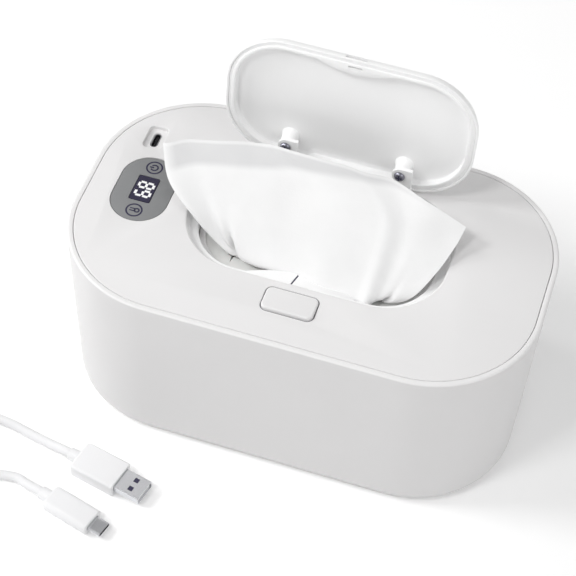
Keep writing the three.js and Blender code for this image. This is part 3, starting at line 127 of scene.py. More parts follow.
def rounded(length, width, radius, x=0.0, y=0.0, steps=24):
    def outline(inset):
        half_x = length / 2 - inset
        half_y = width / 2 - inset
        r = min(max(radius - inset, FIT), half_x, half_y)
        points = []
        for corner in range(4):
            sign_x = 1 if corner in (0, 3) else -1
            sign_y = 1 if corner < 2 else -1
            for step in range(steps + 1):
                angle = (corner + step / steps) * math.pi / 2
                points.append((x + sign_x * (half_x - r) + r * math.cos(angle),
                               y + sign_y * (half_y - r) + r * math.sin(angle)))
        return points
    return outline


def rings_of(outline, profile):
    return [[(px, py, z) for px, py in outline(inset)] for inset, z in profile]


def ring_solid(name, outline, profile, smooth=35):
    return skin(name, rings_of(outline, profile), closed=True, smooth=smooth)


def stack(name, outline, profile):
    return skin(name, rings_of(outline, profile))


def quarter(inset, z, radius, start, end, steps=6):
    return [(inset + radius * math.cos(math.radians(start + (end - start) * i / steps)),
             z + radius * math.sin(math.radians(start + (end - start) * i / steps)))
            for i in range(steps + 1)]


def block(name, low_x, high_x, low_y, high_y, low_z, high_z):
    points = [(x, y, z) for z in (low_z, high_z) for x, y in
              ((low_x, low_y), (high_x, low_y), (high_x, high_y), (low_x, high_y))]
    faces = [(3, 2, 1, 0), (4, 5, 6, 7), (0, 1, 5, 4), (1, 2, 6, 5), (2, 3, 7, 6), (3, 0, 4, 7)]
    return new_object(name, points, faces)


def round_rod(name, x, y, profile, smooth=35):
    turns = [2 * math.pi * i / ROD_SIDES for i in range(ROD_SIDES)]
    rings = [[(x + r * math.cos(turn), y + r * math.sin(turn), z) for turn in turns] for r, z in profile]
    return skin(name, rings, smooth=smooth)


def segment(name, x, chord, length, depth, root, profile):
    """A segment of a circle that bulges along +y from a chord; profile is (inset, z) of its curved edge."""
    radius = length * length / (8 * depth) + depth / 2
    half = math.asin(length / 2 / radius)
    turns = [half - 2 * half * i / SEGMENT_STEPS for i in range(SEGMENT_STEPS + 1)]
    rings = []
    for inset, z in profile:
        r = radius - inset
        arc = [(x + r * math.sin(turn), chord + depth - radius + r * math.cos(turn), z) for turn in turns]
        rings.append([(arc[0][0], chord - root, z)] + arc + [(arc[-1][0], chord - root, z)])
    return skin(name, rings)


def combine(base, tools, operation, smooth=35):
    for tool in tools:
        change = base.modifiers.new("change", "BOOLEAN")
        change.operation = operation
        change.solver = "EXACT"
        change.object = tool
        bpy.context.view_layer.update()
        depsgraph = bpy.context.evaluated_depsgraph_get()
        mesh = bpy.data.meshes.new_from_object(base.evaluated_get(depsgraph))
        base.modifiers.clear()
        base.data = mesh
        bpy.data.objects.remove(tool)
    soften(base, smooth)
    return base


def cut(base, *tools, smooth=35):
    return combine(base, tools, "DIFFERENCE", smooth)


def join(base, *tools):
    return combine(base, tools, "UNION")


# Materials

ROUGH_SPREAD = 0.08
CLOUD_SCALE = 26


def ramp(nodes, low, high, start, end):
    node = nodes.new("ShaderNodeValToRGB")
    node.color_ramp.elements[0].color = (*low, 1)
    node.color_ramp.elements[1].color = (*high, 1)
    node.color_ramp.elements[0].position = start
    node.color_ramp.elements[1].position = end
    return node


def linear(colour):
    return tuple(((c / 255 + 0.055) / 1.055) ** 2.4 if c > 10 else c / 255 / 12.92 for c in colour)


def material(name, colour, roughness, mottle=0.02, grain=900.0, bump=0.04, metallic=0.0, coat=0.0,
             subsurface=0.0, specular=0.5):
    made = bpy.data.materials.new(name)
    made.use_nodes = True
    nodes, links = made.node_tree.nodes, made.node_tree.links
    shader = nodes["Principled BSDF"]
    place = nodes.new("ShaderNodeTexCoord")
    base = linear(colour)
    cloud = nodes.new("ShaderNodeTexNoise")
    cloud.inputs["Scale"].default_value = CLOUD_SCALE
    cloud.inputs["Detail"].default_value = 4
    links.new(place.outputs["Object"], cloud.inputs["Vector"])
    darker = tuple(c * (1 - mottle) for c in base)
    lighter = tuple(min(c * (1 + mottle), 1) for c in base)
    tint = ramp(nodes, darker, lighter, 0.3, 0.7)
    links.new(cloud.outputs["Fac"], tint.inputs["Fac"])
    links.new(tint.outputs["Color"], shader.inputs["Base Color"])
    fine = nodes.new("ShaderNodeTexNoise")
    fine.inputs["Scale"].default_value = grain
    fine.inputs["Detail"].default_value = 3
    links.new(place.outputs["Object"], fine.inputs["Vector"])
    spread = nodes.new("ShaderNodeMapRange")
    spread.inputs["To Min"].default_value = max(roughness - ROUGH_SPREAD, 0.05)
    spread.inputs["To Max"].default_value = min(roughness + ROUGH_SPREAD, 1)
    links.new(cloud.outputs["Fac"], spread.inputs["Value"])
    links.new(spread.outputs["Result"], shader.inputs["Roughness"])
    relief = nodes.new("ShaderNodeBump")
    relief.inputs["Strength"].default_value = bump
    relief.inputs["Distance"].default_value = 0.0002
    links.new(fine.outputs["Fac"], relief.inputs["Height"])
    links.new(relief.outputs["Normal"], shader.inputs["Normal"])
    shader.inputs["Metallic"].default_value = metallic
    shader.inputs["Coat Weight"].default_value = coat
    shader.inputs["Coat Roughness"].default_value = 0.15
    shader.inputs["Specular IOR Level"].default_value = specular
    if subsurface:
        shader.inputs["Subsurface Weight"].default_value = subsurface
        shader.inputs["Subsurface Radius"].default_value = (0.004, 0.003, 0.003)
        shader.inputs["Subsurface Scale"].default_value = 0.4
    return made


# The single layer along the top of the cloth is darkened by this tone, as painted shade
BAND = "single_layer_shade"
BAND_SHADE = (0.8, 0.8, 0.805, 1)
FIBRE_SCALE = 700

# Heights in metres between which a material is painted whiter as painted light, as (none of it, all of it)
RIM = (0.0970, 0.0976)
RECESS = (0.0955, 0.0925)
THROAT_EDGE = (0.0885, 0.0905)


def cloth_material():
    made = material("cloth", (243, 243, 243), 0.95, mottle=0.035, grain=2400, bump=0.25, specular=0.1)
    nodes, links = made.node_tree.nodes, made.node_tree.links
    shader = nodes["Principled BSDF"]
    place = nodes.new("ShaderNodeTexCoord")
    fibres = nodes.new("ShaderNodeTexVoronoi")
    fibres.inputs["Scale"].default_value = FIBRE_SCALE
    fibres.feature = "DISTANCE_TO_EDGE"
    links.new(place.outputs["Object"], fibres.inputs["Vector"])
    relief = nodes.new("ShaderNodeBump")
    relief.inputs["Strength"].default_value = 0.12
    relief.inputs["Distance"].default_value = 0.0003
    links.new(fibres.outputs["Distance"], relief.inputs["Height"])
    links.new(shader.inputs["Normal"].links[0].from_socket, relief.inputs["Normal"])
    links.new(relief.outputs["Normal"], shader.inputs["Normal"])
    shader.inputs["Sheen Weight"].default_value = 0.15
    # Painted shade: the single layer is multiplied by a darker tone
    band = nodes.new("ShaderNodeAttribute")
    band.attribute_name = BAND
    tone = nodes.new("ShaderNodeMix")
    tone.data_type = "RGBA"
    tone.blend_type = "MULTIPLY"
    tone.inputs["B"].default_value = BAND_SHADE
    links.new(band.outputs["Fac"], tone.inputs["Factor"])
    links.new(shader.inputs["Base Color"].links[0].from_socket, tone.inputs["A"])
    links.new(tone.outputs["Result"], shader.inputs["Base Color"])
    return made


def paint_light_between(made, colour, *bounds):
    """Blends the material to a whiter colour over each pair of heights, as painted light."""
    nodes, links = made.node_tree.nodes, made.node_tree.links
    shader = nodes["Principled BSDF"]
    place = nodes.new("ShaderNodeTexCoord")
    parts = nodes.new("ShaderNodeSeparateXYZ")
    links.new(place.outputs["Object"], parts.inputs["Vector"])
    share = None
    for none, full in bounds:
        fade = nodes.new("ShaderNodeMapRange")
        fade.inputs["From Min"].default_value = none
        fade.inputs["From Max"].default_value = full
        links.new(parts.outputs["Z"], fade.inputs["Value"])
        if share:
            both = nodes.new("ShaderNodeMath")
            both.operation = "MULTIPLY"
            links.new(share, both.inputs[0])
            links.new(fade.outputs["Result"], both.inputs[1])
            share = both.outputs[0]
        else:
            share = fade.outputs["Result"]
    tone = nodes.new("ShaderNodeMix")
    tone.data_type = "RGBA"
    tone.inputs["B"].default_value = (*linear(colour), 1)
    links.new(share, tone.inputs["Factor"])
    links.new(shader.inputs["Base Color"].links[0].from_socket, tone.inputs["A"])
    links.new(tone.outputs["Result"], shader.inputs["Base Color"])
    return made


def shell_material():
    """The shell is painted whiter on its rim than on its wall, as a painted highlight on the rim's top."""
    made = material("shell_white", (222, 221, 221), 0.42, mottle=0.008, grain=1300, bump=0.05)
    return paint_light_between(made, (238, 237, 237), RIM)


def cover_material():
    """The cover is painted whiter inside its recess, down to the edge of its throat, than on the panel, as
    painted light in the recess.
    """
    made = material("cover_white", (235, 234, 234), 0.45, mottle=0.008, grain=1500, bump=0.05)
    return paint_light_between(made, (250, 250, 250), RECESS, THROAT_EDGE)


def dress(obj, made):
    obj.data.materials.clear()
    obj.data.materials.append(made)


MATS = {
    "shell": shell_material(),
    "cover": cover_material(),
    # The lid's white is set lighter than the shell's as painted light, so that its inside shows brighter than
    # the wall
    "lid": material("lid_white", (252, 252, 252), 0.34, mottle=0.006, grain=1100, bump=0.03),
    "tub": material("tub_white", (228, 228, 226), 0.4, mottle=0.012, grain=1000, bump=0.04),
    "silicone": material("silicone_white", (232, 232, 230), 0.6, mottle=0.02, grain=1800, bump=0.06,
                         subsurface=0.1),
    "foam": material("foam_grey", (217, 217, 214), 0.95, mottle=0.08, grain=1200, bump=0.6),
    "foot": material("foot_grey", (150, 150, 150), 0.85, mottle=0.06, grain=1500, bump=0.2),
    "steel": material("bright_steel", (218, 219, 222), 0.26, mottle=0.03, grain=2600, bump=0.03,
                      metallic=1.0),
    "lens": material("lens_grey", (137, 138, 139), 0.3, mottle=0.01, grain=900, bump=0.02, coat=0.2),
    "display": material("display_navy", (46, 42, 66), 0.24, mottle=0.03, grain=900, bump=0.01, coat=0.3),
    "board": material("board_green", (31, 107, 69), 0.5, mottle=0.1, grain=700, bump=0.1),
    "blackPlastic": material("plastic_black", (24, 24, 28), 0.45, mottle=0.06, grain=1600, bump=0.08),
    "aluminium": material("plain_aluminium", (200, 202, 204), 0.4, mottle=0.04, grain=2200, bump=0.06,
                          metallic=1.0),
    "film": material("film_amber", (181, 101, 29), 0.45, mottle=0.12, grain=600, bump=0.08),
    "wire": material("wire_red", (170, 44, 38), 0.5, mottle=0.05, grain=1500, bump=0.08),
    "cable": material("cable_white", (237, 237, 238), 0.5, mottle=0.012, grain=1800, bump=0.05),
    "cloth": cloth_material(),
}
# Dark navy for the printed signs, also used as painted shade in the crest's slit, the screw crosses and the
# plug's windows
INK_AND_SHADE = material("icon_ink_and_shade", (50, 47, 74), 0.4, mottle=0.03)
# Dark grey for painted shade in the gap round the button
GAP_SHADE = material("gap_shade_grey", (120, 120, 124), 0.6, mottle=0.02)
DIGIT = material("digit_white", (255, 255, 255), 0.5, mottle=0.01)
CHROME = material("screw_bright", (140, 140, 150), 0.3, mottle=0.04, grain=2000, bump=0.02, metallic=1.0)

for part in frame["record"]["subparts"]:
    dress(frame["nodes"][part["node"]], MATS[part["material_slot"]])
dress(frame["nodes"]["latch_slide"], MATS["cover"])


def finish_piece(obj, kind, body, *nodes, made=None):
    dress(obj, made or MATS[kind])
    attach(obj, body)
    if nodes:
        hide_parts(*nodes)
    return obj


# Body

HEIGHT = 98.0
body_line = rounded(225, 135, 53, steps=40)
BASE = 1.6
BASE_ROUND = 5.0
BASE_OPENING = 9
DRAFT = 2.5
SHELL_WALL = 2.4
RIM_ROUND = 1.2
RIM_EDGE = 0.3
FLANGE_LOW = 4.2
FLANGE_TOP = 6.2
FLANGE_REACH = 16
COVER_LOW = HEIGHT - 14.1
LEDGE = COVER_LOW - 3 * FIT - 1 - 2
LEDGE_REACH = 6.5
LEDGE_THICK = 3


def wall_at(z):
    return DRAFT * (1 - z / HEIGHT) + SHELL_WALL


def outer_shell():
    slope = LEDGE - 8
    profile = [
        *quarter(DRAFT + BASE_ROUND, BASE + BASE_ROUND, BASE_ROUND, 270, 180),
        *quarter(RIM_ROUND, HEIGHT - RIM_ROUND, RIM_ROUND, 180, 90),
        *quarter(SHELL_WALL, HEIGHT - RIM_EDGE, RIM_EDGE, 90, 0, 3),
        (2.7, LEDGE), (LEDGE_REACH, LEDGE), (LEDGE_REACH, LEDGE - LEDGE_THICK), (wall_at(slope), slope),
        (wall_at(FLANGE_TOP), FLANGE_TOP), (FLANGE_REACH, FLANGE_TOP), (FLANGE_REACH, FLANGE_LOW),
        (BASE_OPENING, FLANGE_LOW), (BASE_OPENING, BASE),
    ]
    return ring_solid("shell_body", body_line, profile, smooth=40)


finish_piece(outer_shell(), "shell", "tub", "outer_shell")


def tub_cup():
    inset = 14.0
    wall = 1.8
    low = inset - wall + 1.5
    base = FLANGE_TOP + 1.8
    floor = base + 2
    bend = 6
    flange = LEDGE + FIT
    outer = 3
    profile = [
        *quarter(low + bend, base + bend, bend, 270, 180), (inset - wall, flange), (outer, flange),
        (outer, flange + 2), *quarter(inset - 0.6, flange + 1.4, 0.6, 90, 0, 3),
        *quarter(low + wall + bend, floor + bend, bend, 180, 270), (low + wall + bend + 2, floor),
    ]
    return stack("tub_cup", body_line, profile)


finish_piece(tub_cup(), "tub", "tub", "inner_tub")

# Cover

PANEL_INSET = 2.95
PANEL_EDGE = 0.45
PANEL_WALL = 5.1
MOUTH_X, MOUTH_Y = 2.0, 5.0
MOUTH_HALF = 36
mouth_line = rounded(124, 2 * MOUTH_HALF, 30, MOUTH_X, MOUTH_Y, steps=36)
MOUTH_FRONT = MOUTH_Y - MOUTH_HALF
MOUTH_BACK = MOUTH_Y + MOUTH_HALF
UNDER = HEIGHT - 2.6
MOUTH_LEDGE = HEIGHT - 6
THROAT = HEIGHT - 16.5
HINGE_Y = MOUTH_BACK + 2.2
HINGE_Z = HEIGHT - 2.6
ARM_X = (MOUTH_X - 28, MOUTH_X + 28)
POCKET_LOW, POCKET_HIGH = -1.2, 6.2
POCKET_WALL = 1.2
POCKET_BASE = 86
POCKET_FLOOR = 86.9
BUTTON_Y = -42.3
button_line = rounded(24.5, 13.6, 3, MOUTH_X, BUTTON_Y, steps=12)
DISPLAY_X, DISPLAY_Y = -83.8, 1
lens_line = rounded(27.2, 40.6, 13.6, DISPLAY_X, DISPLAY_Y, steps=32)
window_line = rounded(10.4, 15.9, 0.8, DISPLAY_X, DISPLAY_Y, steps=6)
PORT_X, PORT_Y = -90.4, 34.2
port_line = rounded(9.4, 14.6, 2.4, PORT_X, PORT_Y, steps=12)
socket_line = rounded(3.3, 9, 1.65, PORT_X, PORT_Y, steps=12)
CREST = (MOUTH_X, MOUTH_FRONT + 5.5, 52, 6.3)
SLIT_TURN = (Matrix.Translation(Vector((MOUTH_X - 4.4, MOUTH_FRONT + 3.7, 0)) * MM)
             @ Matrix.Rotation(math.radians(-14.8), 4, "Z"))
SLIDE_TOP = UNDER - 0.2
SLIDE_LOW = SLIDE_TOP - 1.2
NOSE_HALF = 4.8
FLARE_ANGLES = (22, 45, 68, 90)


def well(outline, depth, edge=0.35, inset=0.0):
    """A cutter for a well in the panel, flared at its top edge."""
    turns = [math.radians(a) for a in FLARE_ANGLES]
    flare = [(inset - edge * (1 - math.cos(a)), HEIGHT - edge + edge * math.sin(a)) for a in turns]
    return stack("well", outline, [
        (inset, HEIGHT - depth), (inset, HEIGHT - edge), *flare, (inset - edge, HEIGHT + 2)])


def top_cover():
    edge = quarter(3.4, HEIGHT - PANEL_EDGE, PANEL_EDGE, 180, 90, 4)
    tray = stack("top_panel", body_line, [
        (PANEL_INSET, COVER_LOW), (PANEL_INSET, HEIGHT - PANEL_EDGE), *edge])
    hollow = stack("hollow", body_line, [(PANEL_WALL, COVER_LOW - 1), (PANEL_WALL, UNDER)])
    mouth = well(mouth_line, 4, edge=1.1)
    bowl = ring_solid("bowl", mouth_line, [
        (-2, UNDER + 1), (-2, MOUTH_LEDGE - 2), (3.9, MOUTH_LEDGE - 2), (3.9, THROAT), (8, THROAT),
        (8, THROAT + 1.5), (5.5, THROAT + 1.5), (5.5, MOUTH_LEDGE - 0.8),
        *quarter(4.7, MOUTH_LEDGE - 0.8, 0.8, 0, 90, 4), (1.6, MOUTH_LEDGE),
        (0.9, MOUTH_LEDGE + 0.25), (0.35, MOUTH_LEDGE + 0.9), (0, MOUTH_LEDGE + 2), (0, UNDER + 1)])
    lip = segment("lip", *CREST, 1.6, [
        (0, MOUTH_LEDGE - 2), (0, MOUTH_LEDGE - 0.5), (0.2, MOUTH_LEDGE - 0.1), (0.5, MOUTH_LEDGE)])
    tray = cut(tray, hollow, mouth)
    port_tray = stack("port_tray", port_line, [(-1.4, HEIGHT - 3.4), (-1.4, UNDER + 1)])
    blocks = []
    for x in ARM_X:
        low, high, back = x + POCKET_LOW - POCKET_WALL, x + POCKET_HIGH + POCKET_WALL, HINGE_Y + 3.8
        blocks.append(block("pocket", low, high, MOUTH_BACK - 5.5, back, POCKET_BASE, MOUTH_LEDGE - 1))
        blocks.append(block("pocket", low, high, MOUTH_BACK + 0.8, back, POCKET_BASE, UNDER + 1))
    tray = join(tray, bowl, lip, port_tray, *blocks)
    slit = block("slit", -0.4, 0.4, 0, 8.6, MOUTH_LEDGE - 2.2, MOUTH_LEDGE + 1)
    slit.data.transform(SLIT_TURN)
    tools = [
        well(lens_line, 1.6, 0.2, -0.3),
        stack("window", window_line, [(-0.3, UNDER - 1), (-0.3, HEIGHT + 1)]),
        well(port_line, 2, 0.4),
        stack("socket", socket_line, [(-0.3, HEIGHT - 5), (-0.3, HEIGHT + 1)]),
        well(button_line, 4, 0.3, -0.55),
        block("catch", MOUTH_X - NOSE_HALF, MOUTH_X + NOSE_HALF, MOUTH_FRONT - 3, MOUTH_FRONT + 1,
              SLIDE_LOW - 0.3, SLIDE_TOP + 0.2),
        slit,
        *[block("pocket_cut", x + POCKET_LOW, x + POCKET_HIGH, MOUTH_BACK - 6.5, HINGE_Y + 2.6,
                POCKET_FLOOR, HEIGHT + 1) for x in ARM_X],
    ]
    return cut(tray, *tools, smooth=40)


finish_piece(top_cover(), "cover", "cover", "top_cover")
# A dark strip in the bottom of the crest's slit, as painted shade
slit_shade = block("slit_shade", -0.38, 0.38, 0.1, 7.6, MOUTH_LEDGE - 1.6, MOUTH_LEDGE - 0.3)
slit_shade.data.transform(SLIT_TURN)
finish_piece(slit_shade, "cover", "cover", made=INK_AND_SHADE)
# A dark ring in the gap round the button, as painted shade
button_gap_shade = ring_solid("button_gap_shade", button_line, [
    (-0.6, HEIGHT - 1.6), (-0.6, HEIGHT - 0.6), (-0.03, HEIGHT - 0.6), (-0.03, HEIGHT - 1.6)])
finish_piece(button_gap_shade, "cover", "cover", made=GAP_SHADE)

# Soft insert and its ring

MEMBRANE_LOW = THROAT + 1.5 + FIT
MEMBRANE_TOP = MEMBRANE_LOW + 1.7
MEMBRANE_EDGE = 5.8
DISH = 3.2
DISH_STEPS = 12
SLIT_Y = -12.0
SLIT_X = (-35.0, 40.0)
SLIT_HALF = 0.6
CROSS_HALF = (0.3, 7.5)
STAR_TIP, STAR_NOTCH = 5.4, 1.1
STAR_POINTS = 8


def insert():
    shares = [i / DISH_STEPS for i in range(DISH_STEPS + 1)]
    sags = [(8.8 + s * 21, DISH * math.sin(s * math.pi / 2)) for s in shares]
    dish = stack("soft_insert", mouth_line, [
        *[(i, MEMBRANE_LOW - sag) for i, sag in reversed(sags)],
        (MEMBRANE_EDGE, MEMBRANE_LOW), (MEMBRANE_EDGE, MEMBRANE_TOP),
        *[(i, MEMBRANE_TOP - sag) for i, sag in sags]])
    low, high = MEMBRANE_LOW - 5, MEMBRANE_TOP + 1
    stars = []
    for x in SLIT_X:
        points = []
        for i in range(STAR_POINTS):
            reach = STAR_TIP if i % 2 == 0 else STAR_NOTCH
            angle = math.pi / 4 * i
            points.append((x + 0.6 * reach * math.cos(angle), SLIT_Y + reach * math.sin(angle)))
        stars.append(skin("star", [[(px, py, z) for px, py in points] for z in (low, high)]))
    wide, tall = CROSS_HALF
    middle = block("cross", MOUTH_X - wide, MOUTH_X + wide, SLIT_Y - tall, SLIT_Y + tall, low, high)
    long_slit = block("long_slit", *SLIT_X, SLIT_Y - SLIT_HALF, SLIT_Y + SLIT_HALF, low, high)
    return cut(dish, long_slit, middle, *stars)


finish_piece(insert(), "silicone", "cover", "dispensing_insert")

ring_low = MEMBRANE_TOP + FIT
insert_frame = ring_solid("insert_frame", mouth_line, [
    (MEMBRANE_EDGE, ring_low), (MEMBRANE_EDGE, ring_low + 1.2),
    *quarter(6.1, ring_low + 1.2, 0.3, 180, 90, 3), *quarter(8.3, ring_low + 1, 0.5, 90, 0, 4), (8.8, ring_low)])
finish_piece(insert_frame, "cover", "cover", "insert_ring")

# Display and its signs

LENS_TOP = HEIGHT - 0.1
lens = stack("touch_lens", lens_line, [
    (0, LENS_TOP - 1.2), (0, LENS_TOP - 0.2), (0.06, LENS_TOP - 0.06), (0.2, LENS_TOP)])
cut(lens, stack("hole", window_line, [(-0.15, UNDER), (-0.15, HEIGHT + 1)]))
finish_piece(lens, "lens", "cover", "display_lens")

module_line = rounded(14.4, 19.9, 0.3, DISPLAY_X, DISPLAY_Y, 2)
module = stack("display_block", module_line, [(0, 88.9), (0, UNDER - FIT)])
join(module, stack("display_face", window_line, [(0.15, UNDER - 1), (0.15, LENS_TOP)]))
finish_piece(module, "display", "cover", "display_module")


def flat_bars(name, bars, low, thick, made, kind):
    """Thin raised marks: each bar is a list of corner points in x and y."""
    points, faces = [], []
    for bar in bars:
        start = len(points)
        count = len(bar)
        points += [(x, y, low) for x, y in bar] + [(x, y, low + thick) for x, y in bar]
        faces.append(tuple(start + i for i in range(count))[::-1])
        faces.append(tuple(start + count + i for i in range(count)))
        faces += [(start + i, start + (i + 1) % count, start + count + (i + 1) % count, start + count + i)
                  for i in range(count)]
    return finish_piece(new_object(name, points, faces), kind, "cover", made=made)


def stroke(a, b, width):
    direction = (Vector(b) - Vector(a)).normalized() * width / 2
    side = Vector((-direction.y, direction.x))
    a, b = Vector(a), Vector(b)
    return [tuple(p) for p in (a - side, b - side, b + side, a + side)]


def arc_strokes(x, y, radius, start, end, width, steps):
    turns = [math.radians(start + (end - start) * i / steps) for i in range(steps + 1)]
    points = [(x + radius * math.cos(turn), y + radius * math.sin(turn)) for turn in turns]
    return [stroke(points[i], points[i + 1], width) for i in range(steps)]


DIGIT_X = -83.6
DIGIT_TALL = 7.0
DIGIT_WIDE = 3.3
DIGIT_LINE = 1.25


def digit(y, segments):
    """Seven-segment digit, whose top points along -x."""
    tall, wide = DIGIT_TALL / 2, DIGIT_WIDE / 2
    corners = {
        "a": ((-tall, -wide), (-tall, wide)), "g": ((0, -wide), (0, wide)),
        "d": ((tall, -wide), (tall, wide)), "f": ((-tall, -wide), (0, -wide)),
        "b": ((-tall, wide), (0, wide)), "e": ((0, -wide), (tall, -wide)), "c": ((0, wide), (tall, wide)),
    }
    bars = []
    for name in segments:
        a, b = (Vector(p) + Vector((DIGIT_X, y)) for p in corners[name])
        shrink = (b - a).normalized() * DIGIT_LINE * 0.35
        bars.append(stroke(a + shrink, b - shrink, DIGIT_LINE))
    return bars


DIGITS = digit(-1.95, "acdefg") + digit(3.25, "abcdefg")
flat_bars("display_digits", DIGITS, LENS_TOP, 0.04, DIGIT, "display")

SIGN_LINE = 0.8
SIGN_RADIUS = 3.7
POWER_SIGN = (-84, 15.2)
HEAT_SIGN = (-83.7, -13.1)
power = arc_strokes(*POWER_SIGN, SIGN_RADIUS, 0, 360, SIGN_LINE, 40)
power += arc_strokes(*POWER_SIGN, 1.7, 215, 505, SIGN_LINE, 20)
power.append(stroke((-86.3, 15.2), (-84.2, 15.2), SIGN_LINE))
heat = arc_strokes(*HEAT_SIGN, SIGN_RADIUS, 0, 360, SIGN_LINE, 40)
heat += [stroke((-85.9, y), (-83.3, y), SIGN_LINE * 0.8) for y in (-13.6, -12.2)]
heat += arc_strokes(-82.4, -12.9, 1.1, 0, 360, SIGN_LINE, 16)
flat_bars("touch_signs", power + heat, LENS_TOP, 0.03, INK_AND_SHADE, "lens")

# Button

BUTTON_TOP = HEIGHT + 1.7
BUTTON_LOW = 95.2
BUTTON_FRONT = BUTTON_Y - 6.8
BUTTON_SLOPE = 0.085
BUTTON_ROUND = 0.9
BUTTON_WALL = 1.4
BUTTON_CEILING = 1.5
BUTTON_CUT = 94
button = stack("press_button", button_line, [
    (0, BUTTON_LOW), (0, BUTTON_TOP - BUTTON_ROUND),
    *quarter(BUTTON_ROUND, BUTTON_TOP - BUTTON_ROUND, BUTTON_ROUND, 180, 90, 6)])
for vertex in button.data.vertices:
    if vertex.co.z > HEIGHT * MM:
        vertex.co.z -= BUTTON_SLOPE * (vertex.co.y - BUTTON_FRONT * MM)
cut(button,
    stack("hollow", button_line, [(BUTTON_WALL, BUTTON_CUT), (BUTTON_WALL, BUTTON_TOP - BUTTON_CEILING)]),
    block("passage", MOUTH_X - NOSE_HALF, MOUTH_X + NOSE_HALF, BUTTON_FRONT - 1, BUTTON_Y + 7.8,
          BUTTON_CUT, SLIDE_TOP + 1.9))

# The wedge foot under the button, as (y, z), which draws the latch slide back
wedge_y, wedge_low, wedge_top = BUTTON_Y + 2.5, SLIDE_TOP - 2 * FIT, HEIGHT + 0.5
wedge = [(wedge_y, wedge_top), (wedge_y - 5, wedge_top), (wedge_y - 5, wedge_low + 2.5),
         (wedge_y - 2.5, wedge_low), (wedge_y, wedge_low)]
join(button, skin("wedge", [[(x, y, z) for y, z in wedge] for x in (MOUTH_X - 2.6, MOUTH_X + 2.6)]))
finish_piece(button, "cover", "button", "release_button")

# Lid, built closed and swung open

LID_ANGLE = -95
LID_TURN = (Matrix.Translation(Vector((0, HINGE_Y, HINGE_Z)) * MM)
            @ Matrix.Rotation(math.radians(LID_ANGLE), 4, "X")
            @ Matrix.Translation(Vector((0, -HINGE_Y, -HINGE_Z)) * MM))
lid_line = rounded(120.6, 68.6, 28.3, MOUTH_X, MOUTH_Y, steps=36)
LID_TOP = HEIGHT + 1
LID_RIM = MOUTH_LEDGE + 0.8
LID_WALL = 1.2
LID_ROUND = 5.2
LID_CHAMFER = 2.5
LID_UNDER = LID_TOP - LID_WALL
LID_SLOPE = LID_UNDER - LID_CHAMFER
INNER_TOP = LID_UNDER - FIT
DISH_FLOOR = INNER_TOP - 1
INNER_RIM = DISH_FLOOR - 3.8
LID_FRONT = MOUTH_Y - 34.3
BOSS_Y = MOUTH_Y + 34.3 - 12
BOSS_LOW = DISH_FLOOR - 6.6
ARM_LOW = BOSS_LOW - FIT - 2
BEAD_FROM, BEAD_TO = 2.6, 4.4


def under_slope(z):
    return LID_WALL + 0.42 + z - LID_SLOPE


def open_lid(obj):
    obj.data.transform(LID_TURN)
    return obj


def lid_outer():
    cap = stack("lid_shell", lid_line, [
        (LID_WALL + LID_CHAMFER, LID_UNDER), (LID_WALL, LID_SLOPE), (LID_WALL, LID_RIM + 0.2),
        *quarter(LID_WALL - 0.2, LID_RIM + 0.2, 0.2, 0, -90, 2),
        *quarter(0.3, LID_RIM + 0.3, 0.3, 270, 180, 3),
        *quarter(LID_ROUND, LID_TOP - LID_ROUND, LID_ROUND, 180, 90, 12)])
    window = block("catch_window", MOUTH_X - 5.3, MOUTH_X + 5.3, LID_FRONT - 1, LID_FRONT + 1.7,
                   SLIDE_LOW - FIT, SLIDE_TOP + FIT)
    return open_lid(cut(cap, window))


finish_piece(lid_outer(), "lid", "lid", "lid_outer")


def lid_inner():
    meets = BEAD_FROM - under_slope(0)
    dish = stack("lid_dish", lid_line, [
        *quarter(BEAD_TO + 0.7, DISH_FLOOR - 0.7, 0.7, 90, 180, 4),
        *quarter(BEAD_TO - 0.5, INNER_RIM + 0.5, 0.5, 0, -90, 4),
        *quarter(BEAD_FROM + 0.5, INNER_RIM + 0.5, 0.5, 270, 180, 4), (BEAD_FROM, meets),
        (under_slope(INNER_TOP), INNER_TOP)])
    chord = LID_FRONT + BEAD_TO
    landing = segment("landing", MOUTH_X, chord, 37, 4, 0.9, [
        (0.4, INNER_RIM), (0.1, INNER_RIM + 0.15), (0, INNER_RIM + 0.5), (0, DISH_FLOOR + FIT)])
    bosses = [round_rod("boss", x, BOSS_Y, [
        (3.0, BOSS_LOW), (3.2, BOSS_LOW + 0.15), (3.4, BOSS_LOW + 0.5), (3.9, DISH_FLOOR - 1.2),
        (4.2, DISH_FLOOR - 0.5), (4.9, DISH_FLOOR + 0.3)]) for x in ARM_X]
    slot_y = chord - 0.5
    slot = block("slot", MOUTH_X - 3.3, MOUTH_X + 3.3, slot_y, slot_y + 1.2, INNER_RIM - 1, INNER_RIM + 1.9)
    holes = [round_rod("hole", x, BOSS_Y, [(1.4, BOSS_LOW - 1), (1.4, BOSS_LOW + 4.8)]) for x in ARM_X]
    join(dish, landing, *bosses)
    return open_lid(cut(dish, slot, *holes))


finish_piece(lid_inner(), "lid", "lid", "lid_inner")
gasket_from, gasket_to = LID_WALL + 0.14, BEAD_FROM + 0.05
gasket_face = LID_RIM + 0.3
gasket = ring_solid("lid_gasket", lid_line, [
    (gasket_from, LID_SLOPE - 0.3), (gasket_from, gasket_face),
    (gasket_to, gasket_face), (gasket_to, LID_SLOPE + 0.3)])
finish_piece(open_lid(gasket), "silicone", "lid", "lid_seal", made=MATS["lid"])

